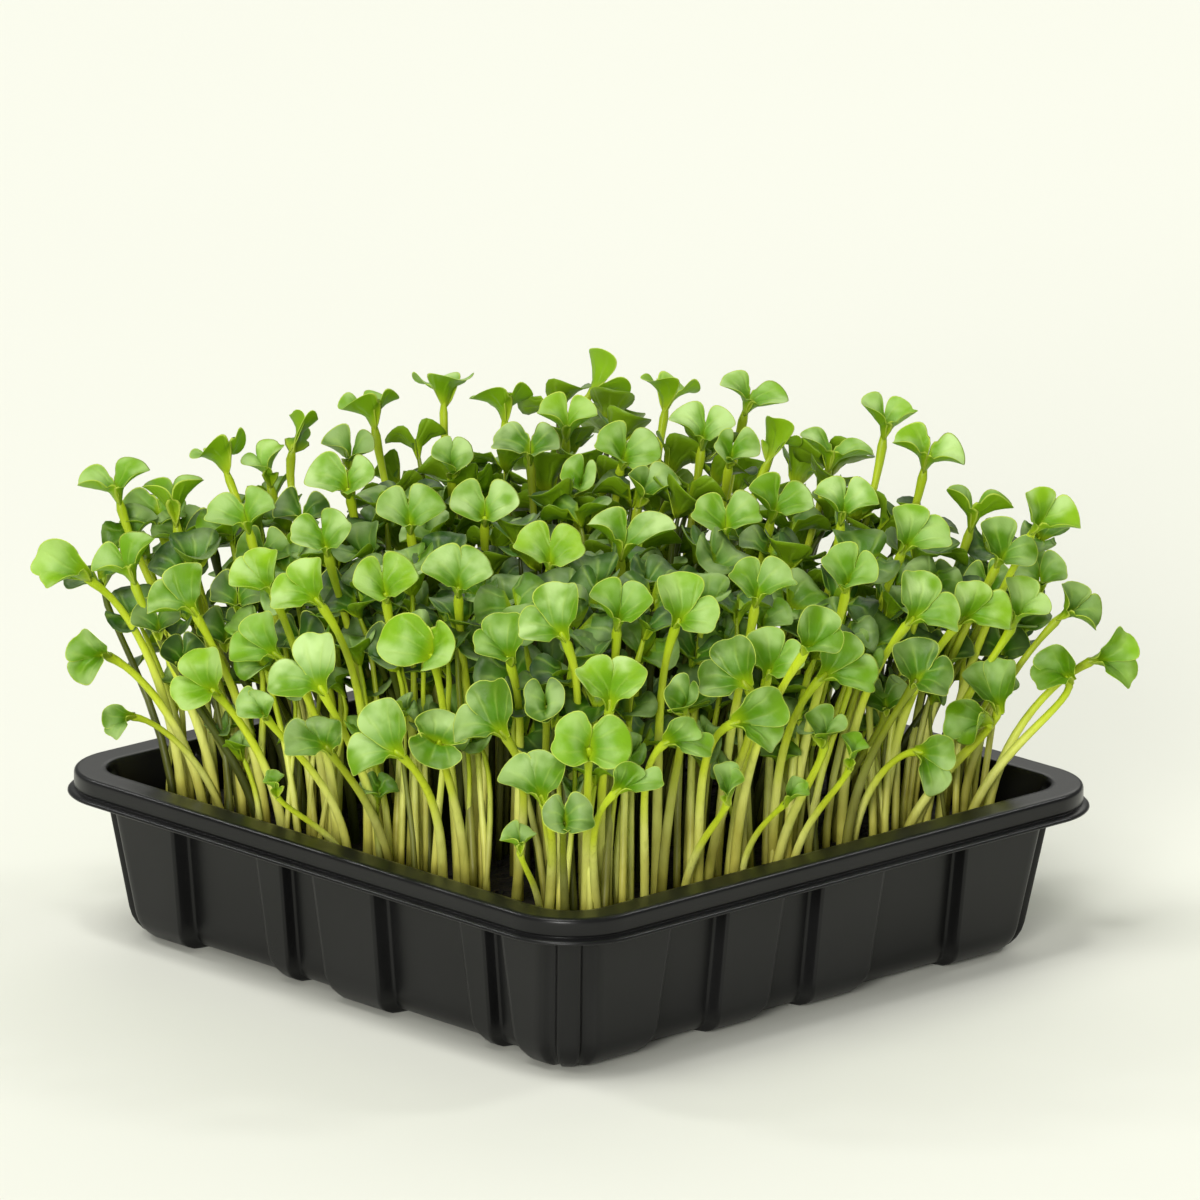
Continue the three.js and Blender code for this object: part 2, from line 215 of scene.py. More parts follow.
class NodeTree:
    """A material's node tree with one way to add any node."""

    def __init__(self, name: str) -> None:
        """Make an empty material with the given name."""
        self.material = bpy.data.materials.new(name)
        self.material.use_nodes = True
        self.tree = self.material.node_tree
        self.tree.nodes.clear()

    def add(
        self,
        kind: str,
        settings: dict[str, Any] | None = None,
        values: dict[Any, Any] | None = None,
        output: int | str = 0,
    ) -> Socket:
        """Add a node.

        Args:
            kind: The node's type.
            settings: Properties that are set first.
            values: Numbers, colours or sockets for the inputs, by name or index.
            output: The output socket to return.

        Returns:
            The chosen output.
        """
        node = self.tree.nodes.new(kind)
        for key, value in (settings or {}).items():
            setattr(node, key, value)
        for key, value in (values or {}).items():
            if isinstance(value, Socket):
                self.tree.links.new(value.socket, node.inputs[key])
            else:
                node.inputs[key].default_value = value
        return Socket(self, node.outputs[output])

    def ramp(self, place: Socket, stops: Sequence[tuple[float, Colour]]) -> Socket:
        """Return the colour at a place along a ramp with the given stops."""
        colour = self.add("ShaderNodeValToRGB", values={0: place})
        elements = colour.socket.node.color_ramp.elements
        while len(elements) < len(stops):
            elements.new(1.0)
        for element, (position, tint) in zip(elements, stops):
            element.position = position
            element.color = (*tint, 1.0)
        return colour

    def attribute(self, name: str) -> Socket:
        """Return a piece's own number attribute."""
        return self.add("ShaderNodeAttribute", {"attribute_name": name}, output="Fac")

    def noise(self, scale: float, detail: float = 3.0, stretch: Sequence[float] = (1, 1, 1)) -> Socket:
        """Return noise on Object coordinates.

        Args:
            scale: Features per metre.
            detail: Octaves of finer noise.
            stretch: Factors for the three axes.

        Returns:
            The noise value.
        """
        coordinates = self.add("ShaderNodeTexCoord", output="Object")
        place = self.add("ShaderNodeMapping", values={"Vector": coordinates, "Scale": stretch})
        values = {"Vector": place, "Scale": scale, "Detail": detail}
        return self.add("ShaderNodeTexNoise", values=values)

    def paint(self, colour: Any, *coats: tuple[Socket, Colour]) -> Socket:
        """Lay coats over a colour.

        Args:
            colour: A colour or a colour socket.
            coats: How much of each coat shows, and its colour.

        Returns:
            The painted colour.
        """
        for share, coat in coats:
            first, second = (c if isinstance(c, Socket) else (*c, 1.0) for c in (colour, coat))
            values = {0: share, 6: first, 7: second}
            colour = self.add("ShaderNodeMix", {"data_type": "RGBA"}, values, output=2)
        return colour

    def bump(self, height: Socket, strength: float, distance: float) -> Socket:
        """Return the normal of a bump map, with its height step in metres."""
        values = {"Height": height, "Strength": strength, "Distance": distance}
        return self.add("ShaderNodeBump", values=values)

    def surface(self, values: dict[str, Any]) -> Socket:
        """Return a principled shader with the given inputs."""
        return self.add("ShaderNodeBsdfPrincipled", values=values)

    def lit_through(self, skin: Socket, glow: Colour, share: Socket) -> Socket:
        """Return a skin of which a share lets light through in the glow's colour."""
        inner = self.add("ShaderNodeBsdfTranslucent", values={"Color": (*glow, 1.0)})
        return self.add("ShaderNodeMixShader", values={0: share, 1: skin, 2: inner})

    def finish(self, shader: Socket) -> Material:
        """Join a shader to the material's output and return the material."""
        output = self.tree.nodes.new("ShaderNodeOutputMaterial")
        self.tree.links.new(shader.socket, output.inputs["Surface"])
        return self.material


@dataclass(frozen=True)
class TrayPlastic:
    """Satin black moulded plastic with faint flow marks and dust."""

    black: Colour = (0.004, 0.004, 0.0041)
    worn: Colour = (0.009, 0.009, 0.0092)
    roughness: float = 0.30
    reflectance: float = 0.26
    bump_strength: float = 0.05
    bump_step: float = 0.00012

    def build(self) -> Material:
        """Return the material."""
        tree = NodeTree("tray_plastic")
        cloud = tree.noise(26.0, 4.0)
        grain = tree.noise(2600.0, 2.0)
        streaks = tree.noise(300.0, 3.0, (1, 1, 0.12))
        return tree.finish(tree.surface({
            "Base Color": tree.paint(self.black, (cloud.between(0.35, 0.75), self.worn)),
            "Roughness": cloud * 0.10 + streaks * 0.06 + grain * 0.05 + (self.roughness - 0.10),
            "Specular IOR Level": self.reflectance,
            "Normal": tree.bump(grain * 0.3 + streaks * 0.4, self.bump_strength, self.bump_step),
        }))


@dataclass(frozen=True)
class MoistMedium:
    """Dark moist coir and soil with fibres and paler grains."""

    wet: Colour = (0.004, 0.0032, 0.002)
    brown: Colour = (0.024, 0.015, 0.008)
    fibre: Colour = (0.10, 0.062, 0.028)
    roughness: float = 0.72
    bump_strength: float = 0.9
    bump_step: float = 0.0012

    def build(self) -> Material:
        """Return the material."""
        tree = NodeTree("moist_medium")
        lumps = tree.noise(420.0, 6.0)
        fibres = tree.noise(900.0, 2.0, (1, 0.18, 1))
        shown = fibres.between(0.66, 0.74) * 0.7
        return tree.finish(tree.surface({
            "Base Color": tree.paint(self.wet, (lumps.between(0.35, 0.7), self.brown), (shown, self.fibre)),
            "Roughness": self.roughness + lumps * 0.25,
            "Normal": tree.bump(lumps + fibres * 0.5, self.bump_strength, self.bump_step),
        }))


@dataclass(frozen=True)
class LeafSkin:
    """Waxy seed leaf: green with a pale bloom partly painted as sheen, painted shade in its cup and on
    low-toned leaves, radiating veins, a thin yellow-green margin.
    """

    shaded: Colour = (0.013, 0.055, 0.0015)
    fresh: Colour = (0.225, 0.460, 0.010)
    young: Colour = (0.380, 0.620, 0.016)
    hollow_shade: Colour = (0.090, 0.270, 0.003)
    bloom_and_sheen: Colour = (0.640, 0.860, 0.330)
    vein: Colour = (0.520, 0.720, 0.120)
    under: Colour = (0.290, 0.500, 0.008)
    margin: Colour = (0.780, 0.920, 0.130)
    neck: Colour = (0.520, 0.680, 0.015)
    glow: Colour = (0.460, 0.700, 0.002)
    let_through: float = 0.33
    roughness: float = 0.34
    reflectance: float = 0.32
    vein_rays: float = 7.5
    bump_strength: float = 0.55
    bump_step: float = 0.0004

    def build(self) -> Material:
        """Return the material."""
        tree = NodeTree("leaf_skin")
        along, across = tree.attribute("along"), tree.attribute("across")
        tone, upper = tree.attribute("tone"), tree.attribute("upper")
        cloud, broad, cells = tree.noise(260.0, 3.0), tree.noise(130.0, 2.0), tree.noise(2400.0, 2.0)
        spread = across / (along * 0.9 + 0.22)
        rays = abs((spread * self.vein_rays + cloud * 1.6).sine())
        veins = (1.0 - rays).between(0.40, 1.0) * along.between(0.08, 0.30)
        lines = veins * (1.0 - along.between(0.52, 0.95))
        face = upper.between(0.45, 0.60)
        # Painted shade in the cup, over the upper face toward the base and the middle.
        hollow_shade = face * (1.0 - along.between(0.35, 0.78)) * (1.0 - abs(across) * 1.6)
        # The bloom coat is partly the leaf's wax bloom and partly painted sheen on the upper faces, weaker
        # on shaded leaves.
        bloom_and_sheen_mask = face * (broad + cloud * 0.5).between(0.55, 0.95) * along.between(0.12, 0.6)
        # clear is the share left unshaded: low tones paint shade, which also dims the bloom and the light
        # let through.
        clear = tone.between(-0.7, 0.25) * 0.85 + 0.15
        edge = tree.attribute("margin").between(0.94, 0.99)
        # The shaded coat, laid where tone is low, is painted shade on leaves deep in the stand.
        colour = tree.paint(
            self.shaded,
            (tone.between(-0.6, 0.75), self.fresh),
            ((tone + cloud * 0.7).between(0.85, 1.6), self.young),
            (hollow_shade * 0.62, self.hollow_shade),
            (bloom_and_sheen_mask * clear * (tree.attribute("wax") * 0.60 + 0.42), self.bloom_and_sheen),
            (lines * 0.22, self.vein),
            ((1.0 - face) * 0.6, self.under),
            ((1.0 - along).between(0.76, 1.0) * 0.9, self.neck),
            (edge * 0.8, self.margin),
        )
        height = cloud * 0.7 + cells * 0.18 - lines * 0.45 + edge * 0.5
        skin = tree.surface({
            "Base Color": colour,
            "Roughness": self.roughness + cloud * 0.16 + cells * 0.05,
            "Specular IOR Level": self.reflectance,
            "Normal": tree.bump(height, self.bump_strength, self.bump_step),
        })
        return tree.finish(tree.lit_through(skin, self.glow, clear * self.let_through))


@dataclass(frozen=True)
class StemSkin:
    """Juicy stem: yellow-green under the leaves, creamy in the middle, olive at the root, where the darker
    stops are painted shade.
    """

    # The darkest stop at the root end is painted shade low among the stems.
    stops: tuple[tuple[float, Colour], ...] = (
        (0.0, (0.26, 0.21, 0.02)),
        (0.13, (0.66, 0.62, 0.11)),
        (0.32, (0.94, 0.97, 0.24)),
        (0.58, (0.74, 0.86, 0.045)),
        (1.0, (0.44, 0.60, 0.010)),
    )
    streak: Colour = (0.32, 0.36, 0.01)
    shaded: Colour = (0.018, 0.032, 0.002)
    glow: Colour = (0.55, 0.62, 0.03)
    let_through: float = 0.20
    roughness: float = 0.32
    reflectance: float = 0.35
    bump_strength: float = 0.5
    bump_step: float = 0.0002

    def build(self) -> Material:
        """Return the material."""
        tree = NodeTree("stem_skin")
        along, tone = tree.attribute("along"), tree.attribute("tone")
        streaks = tree.noise(1500.0, 3.0, (1, 1, 0.06))
        cloud = tree.noise(160.0, 2.0)
        ramp = tree.ramp(along + (cloud - 0.5) * 0.35 + (tone - 0.5) * 0.10, self.stops)
        streaked = streaks.between(0.5, 0.85) * 0.4
        # clear is the share left unshaded: stems of low tone get painted shade, near black, and let less
        # light through.
        clear = tone.between(-0.35, 0.15) * 0.94 + 0.06
        skin = tree.surface({
            "Base Color": tree.paint(ramp, (streaked, self.streak), (1.0 - clear, self.shaded)),
            "Roughness": self.roughness + streaks * 0.2,
            "Specular IOR Level": self.reflectance,
            "Normal": tree.bump(streaks, self.bump_strength, self.bump_step),
        })
        return tree.finish(tree.lit_through(skin, self.glow, clear * self.let_through))


@dataclass(frozen=True)
class PaleFloor:
    """A plain pale studio floor, very faintly mottled."""

    colour: Colour = (0.762, 0.769, 0.690)
    mottle: Colour = (0.752, 0.759, 0.680)
    roughness: float = 0.9

    def build(self) -> Material:
        """Return the material."""
        tree = NodeTree("pale_floor")
        cloud = tree.noise(3.0, 2.0)
        return tree.finish(tree.surface({
            "Base Color": tree.paint(self.colour, (cloud.between(0.3, 0.7), self.mottle)),
            "Roughness": self.roughness,
        }))


class Part(Enum):
    """The two skins of a seedling, as material slots."""

    LEAF = 0
    STEM = 1


@dataclass(frozen=True)
class Detail:
    """How finely a seedling is meshed: segments round and rings along its leaves and stem."""

    leaf: tuple[int, int]
    stem: tuple[int, int]


FINE = Detail((34, 10), (10, 18))
COARSE = Detail((20, 5), (6, 9))


@dataclass(frozen=True)
class Seen:
    """A seedling as measured in the view.

    Attributes:
        joint: The pixel where the seed leaves meet.
        row: How far the joint stands toward the near corner, in millimetres.
        left: The left leaf's tip, right of and below the joint in pixels, and how far the
            leaf turns to the viewer.
        right: The right leaf's tip and turn in the same way.
        facing: How far the pair faces the viewer.
        size: The leaves' size beside the usual one.
    """

    joint: Pair
    row: float
    left: Triple
    right: Triple
    facing: float
    size: float = 1.0

    def leaf(self, tip: Triple) -> Vector:
        """Return the direction and length of the leaf with the given tip."""
        start = VIEW.offset(self.joint)
        end = VIEW.offset((self.joint[0] + tip[0], self.joint[1] + tip[1]))
        across, up = end[0] - start[0], end[1] - start[1]
        hidden = (LEAF_LENGTH * self.size) ** 2 - across * across - up * up
        depth = math.sqrt(max(0.0, hidden)) * tip[2]
        return VIEW.right * across + VIEW.up * up + VIEW.to_viewer * depth


@dataclass(frozen=True)
class Group:
    """Measured seedlings that share a range of greens and painted shade, and of bloom and painted sheen."""

    tone: Pair
    wax: Pair
    seen: tuple[Seen, ...]


# The seedlings that stand for the model's own, in its order
SEEDLINGS = Group(tone=(0.2, 1.0), wax=(0.0, 1.0), seen=tuple(Seen(*row) for row in (
    ((592, 396), -84, (-1, -45, 0.3), (40, 4, -0.3), -0.6),
    ((443, 402), -64, (-22, -18, -0.8), (19, -18, 0.8), -0.2),
    ((504, 420), -66, (-34, -19, 0.5), (28, -19, -0.5), -0.2),
    ((373, 424), -52, (-35, -13, 0.6), (25, -21, -0.4), 0),
    ((666, 408), -70, (-22, -24, 0.6), (30, -11, -0.6), -0.1),
    ((746, 410), -57, (-26, -28, 0.4), (44, -9, 0.4), 0.3),
    ((772, 458), -46, (3, -41, 0.3), (28, -12, -0.4), -0.5),
    ((884, 432), -34, (-26, -30, 0.5), (33, -24, -0.2), 0.4),
    ((925, 464), -22, (-36, -23, 0.2), (41, -1, 0.3), 0.2),
    ((830, 464), -38, (-33, -27, 0.3), (45, -12, 0.2), 0.1),
    ((702, 444), -46, (-32, -28, 0.3), (34, -21, 0.4), 0.5),
    ((566, 436), -50, (-33, -24, 0.4), (34, -22, 0.4), 0.4),
    ((622, 462), -32, (-28, -22, 0.6), (40, -12, 0.5), 0.6),
    ((293, 447), -38, (-5, -35, -0.3), (27, -30, -0.5), -0.4),
    ((224, 467), -22, (-30, -9, 0.5), (15, -15, -0.7), 0.1),
    ((268, 480), -24, (-25, -19, 0.4), (14, -39, 0.2), 0.3),
    ((118, 495), -10, (-43, -11, 0.3), (30, -31, 0.3), 0.3),
    ((176, 517), -6, (-35, -33, 0.2), (28, -41, 0.2), 0.2),
    ((132, 574), 10, (-42, -6, 0.3), (22, -41, 0.2), 0.4),
    ((82, 576), 3, (-49, -23, 0.3), (-40, 9, 0.8), 0.6),
    ((102, 653), 9, (-26, -21, 0.4), (-22, 29, 0.4), 0.5),
    ((192, 606), 18, (0, -47, 0.3), (-46, 2, 0.4), 0.8),
    ((212, 686), 24, (-7, -43, 0.4), (-37, 16, 0.6), 0.8),
    ((270, 584), 28, (2, -41, 0.3), (-42, -7, 0.5), 0.7),
    ((274, 648), 37, (-12, -42, 0.3), (-45, 3, 0.5), 0.8),
    ((316, 594), 38, (-5, -42, 0.3), (-47, 0, 0.5), 0.8),
    ((320, 681), 51, (1, -56, 0.2), (-53, -2, 0.3), 0.9),
    ((248, 523), 6, (-45, -12, 0.4), (28, -23, 0.3), 0.5),
    ((348, 489), -12, (-44, -13, 0.3), (26, -17, 0.5), 0.5),
    ((410, 523), 10, (-35, -19, 0.6), (34, -25, 0.4), 0.6),
    ((485, 516), 2, (-36, -18, 0.6), (35, -19, 0.5), 0.6),
    ((550, 559), 31, (-36, -23, 0.5), (36, -21, 0.5), 0.7),
    ((459, 583), 43, (-35, -26, 0.5), (34, -22, 0.5), 0.8),
    ((386, 589), 42, (-33, -16, 0.6), (32, -24, 0.4), 0.7),
    ((326, 544), 24, (-37, -14, 0.5), (24, -29, 0.3), 0.6),
    ((562, 626), 66, (4, -52, 0.2), (-44, -3, 0.4), 0.9),
    ((508, 651), 61, (-1, -46, 0.3), (-36, -10, 0.6), 0.8),
    ((432, 649), 57, (-52, -19, 0.2), (23, -1, 0.9), 0.9),
    ((622, 549), 20, (-34, -31, 0.4), (54, -29, 0.2), 0.5),
    ((726, 527), 10, (-34, -22, 0.4), (39, -16, 0.4), 0.6),
    ((773, 513), -4, (-25, -29, 0.4), (43, -12, 0.4), 0.5),
    ((842, 515), 2, (-27, -30, 0.4), (38, -17, 0.4), 0.5),
    ((848, 580), 36, (-24, -32, 0.4), (31, -9, 0.6), 0.6),
    ((618, 615), 56, (-28, -30, 0.5), (34, -27, 0.5), 0.7),
    ((680, 613), 58, (-12, -46, 0.3), (39, 4, 0.5), 0.8),
    ((757, 593), 45, (-27, -29, 0.4), (41, -19, 0.4), 0.7),
    ((827, 669), 41, (15, -46, 0.3), (52, 13, 0.3), 0.9),
    ((906, 543), 14, (-6, -41, 0.4), (48, -8, 0.3), 0.8),
    ((914, 614), 26, (0, -49, 0.2), (48, 8, 0.3), 0.8),
    ((965, 614), 17, (3, -37, 0.4), (48, 8, 0.3), 0.8),
    ((1016, 619), 8, (-6, -46, 0.3), (36, -9, 0.5), 0.5),
    ((1036, 525), 2, (-8, -38, 0.4), (46, -2, 0.3), 0.6),
    ((1098, 658), 0, (30, -30, 0.4), (38, 24, 0.3), 0.6),
    ((972, 523), -10, (-29, -35, 0.2), (45, -14, 0.2), 0.1),
    ((611, 693), 74, (-28, -38, 0.3), (30, -36, 0.3), 0.9),
    ((590, 741), 80, (-37, -12, 0.6), (42, -5, 0.5), 1.2),
)))

# Further seedlings between them that the view shows, some of them late and small
BETWEEN = Group(tone=(-0.2, 0.5), wax=(0.0, 0.6), seen=tuple(Seen(*row) for row in (
    ((160, 524), -14, (-44, -4, 0.3), (30, -12, 0.3), 0.2),
    ((264, 708), 44, (-28, -4, 0.4), (8, -18, 0.2), 0.9, 0.8),
    ((350, 463), -36, (-28, -23, 0.3), (26, -17, 0.4), 0.3),
    ((530, 458), -34, (-41, -15, 0.3), (32, -13, 0.3), 0.3),
    ((451, 472), -30, (-22, -20, 0.4), (23, -22, 0.4), 0.5),
    ((730, 461), -34, (-16, -21, 0.3), (32, -9, 0.3), 0.4),
    ((810, 641), 60, (12, -41, 0.3), (32, -1, 0.5), 0.7),
    ((1000, 558), 4, (-16, -40, 0.3), (38, -1, 0.4), 0.6),
    ((917, 677), 30, (-14, -41, 0.3), (35, 7, 0.4), 0.8),
    ((998, 704), 10, (7, -49, 0.3), (-32, -38, 0.4), 0.8),
    ((1066, 676), 6, (-20, -31, 0.3), (-34, 6, 0.4), 0.7),
    ((1063, 613), 3, (0, -34, 0.4), (36, 16, 0.3), 0.5, 0.85),
    ((744, 675), 60, (-14, -45, 0.3), (-47, 1, 0.5), 1.0),
    ((741, 715), 63, (45, -22, 0.3), (37, 26, 0.4), 0.9),
    ((770, 665), 52, (-14, -41, 0.3), (36, -13, 0.5), 0.8),
    ((501, 724), 72, (-7, -54, 0.3), (-47, 4, 0.4), 0.9),
    ((542, 788), 82, (-42, -20, 0.4), (16, -42, 0.3), 0.9),
    ((396, 745), 62, (-14, -52, 0.3), (-46, 17, 0.4), 0.9),
    ((327, 741), 52, (-44, 1, 0.4), (3, -29, 0.2), 0.9),
    ((672, 733), 74, (43, 9, 0.5), (28, -15, 0.3), 0.8, 0.8),
    ((622, 780), 84, (43, -8, 0.4), (18, -22, 0.2), 0.7, 0.8),
    ((923, 750), 27, (34, -2, 0.4), (15, 43, 0.4), 0.8, 0.85),
    ((984, 722), 12, (-42, -6, 0.3), (-16, 22, 0.5), 0.4),
    ((790, 795), 54, (10, -23, 0.3), (22, -7, 0.5), 0.9, 0.55),
    ((520, 840), 84, (-20, -10, 0.5), (14, -18, 0.2), 0.7, 0.55),
    ((276, 786), 44, (-14, -10, 0.4), (8, -18, 0.3), 0.7, 0.5),
    ((565, 815), 86, (-23, -7, 0.5), (31, -7, 0.5), 0.7, 0.8),
    ((852, 757), 44, (-6, -29, 0.3), (16, -19, 0.3), 0.6, 0.75),
    ((128, 716), 14, (-26, 0, 0.4), (-16, 22, 0.4), 0.6, 0.65),
    ((640, 500), -20, (-10, -30, 0.3), (40, -22, 0.3), 0.5),
    ((580, 486), -24, (-20, -16, 0.3), (18, -8, 0.4), 0.5),
    ((548, 700), 68, (-24, -6, 0.4), (18, -10, 0.4), 0.6),
    ((686, 700), 64, (-18, -24, 0.3), (14, -10, 0.4), 0.6),
    ((440, 735), 62, (12, -29, 0.3), (-8, 27, 0.4), 0.6),
    ((730, 790), 68, (-8, -34, 0.2), (16, -20, 0.4), 0.6, 0.8),
    ((826, 735), 45, (-14, -31, 0.2), (20, -13, 0.4), 0.4),
)))

# Seedlings behind those, in the shade of the stand's two sides, with painted shade from their low tones
BEHIND = Group(tone=(-0.55, 0.1), wax=(0.0, 0.5), seen=tuple(Seen(*row) for row in (
    ((160, 630), 12, (-30, -14, 0.3), (24, -18, 0.3), 0.4),
    ((184, 664), 15, (-24, -18, 0.3), (24, -14, 0.3), 0.5, 0.9),
    ((226, 642), 8, (-30, -14, 0.3), (26, -16, 0.3), 0.4),
    ((238, 604), 10, (-30, -12, 0.3), (30, -14, 0.3), 0.3),
    ((300, 646), 20, (-30, -10, 0.3), (28, -16, 0.3), 0.4),
    ((214, 545), -8, (-30, -11, 0.3), (30, -15, 0.3), 0.2),
    ((264, 562), 2, (-30, -12, 0.3), (28, -14, 0.3), 0.3),
    ((302, 524), -12, (-30, -12, 0.3), (30, -14, 0.3), 0.2),
    ((346, 598), 16, (-30, -10, 0.3), (30, -12, 0.3), 0.4),
    ((392, 652), 30, (-28, -12, 0.3), (28, -16, 0.3), 0.4),
    ((886, 706), 16, (-26, -12, 0.3), (26, -16, 0.3), 0.5, 0.9),
    ((900, 646), 6, (-28, -12, 0.3), (28, -16, 0.3), 0.4),
    ((948, 664), 2, (-28, -12, 0.3), (28, -16, 0.3), 0.4),
    ((1002, 656), -4, (-28, -10, 0.3), (28, -14, 0.3), 0.4),
    ((930, 592), 2, (-28, -12, 0.3), (28, -14, 0.3), 0.3),
    ((988, 596), -4, (-28, -10, 0.3), (28, -14, 0.3), 0.3),
    ((1040, 584), -8, (-28, -10, 0.3), (28, -14, 0.3), 0.3),
)))


@dataclass
class Growth:
    """One seedling's axis and leaves in space, in millimetres."""

    root: Vector
    joint: Vector
    leaves: tuple[Vector, Vector]
    facing: Vector
    axis: Vector
    tone: float
    wax: float
    width: float
    stem: float
    leaf_shade: float = 0.0

    @classmethod
    def from_seen(cls, seen: Seen, tone: float, wax: float) -> "Growth":
        """Place a measured seedling.

        Args:
            seen: The measured seedling.
            tone: How fresh its green is, from 0 to 1; low values paint shade over it.
            wax: How strong the leaves' pale bloom and painted sheen are, from 0 to 1.

        Returns:
            The seedling in space, its root nearer the tray's middle than its joint.
        """
        joint = VIEW.point_at(seen.joint, seen.row)
        level = (clamp(c * ROOT_SPREAD, -ROOT_LIMIT, ROOT_LIMIT) for c in joint[:2])
        leaves = tuple(seen.leaf(tip) for tip in (seen.left, seen.right))
        between = leaves[0].normalized() + leaves[1].normalized() + UP * 0.5
        openness = 1.0 - SHOWN_FACE * clamp(seen.facing, 0.0, 1.0)
        facing = (between * openness + VIEW.to_viewer * seen.facing).normalized()
        axis = (between + VIEW.to_viewer * (seen.facing * 0.4)).normalized()
        root, width = Vector((*level, MEDIUM_TOP)), LEAF_WIDTH * seen.size
        return cls(root, joint, leaves, facing, axis, tone, wax, width, stem_radius(seen.size))


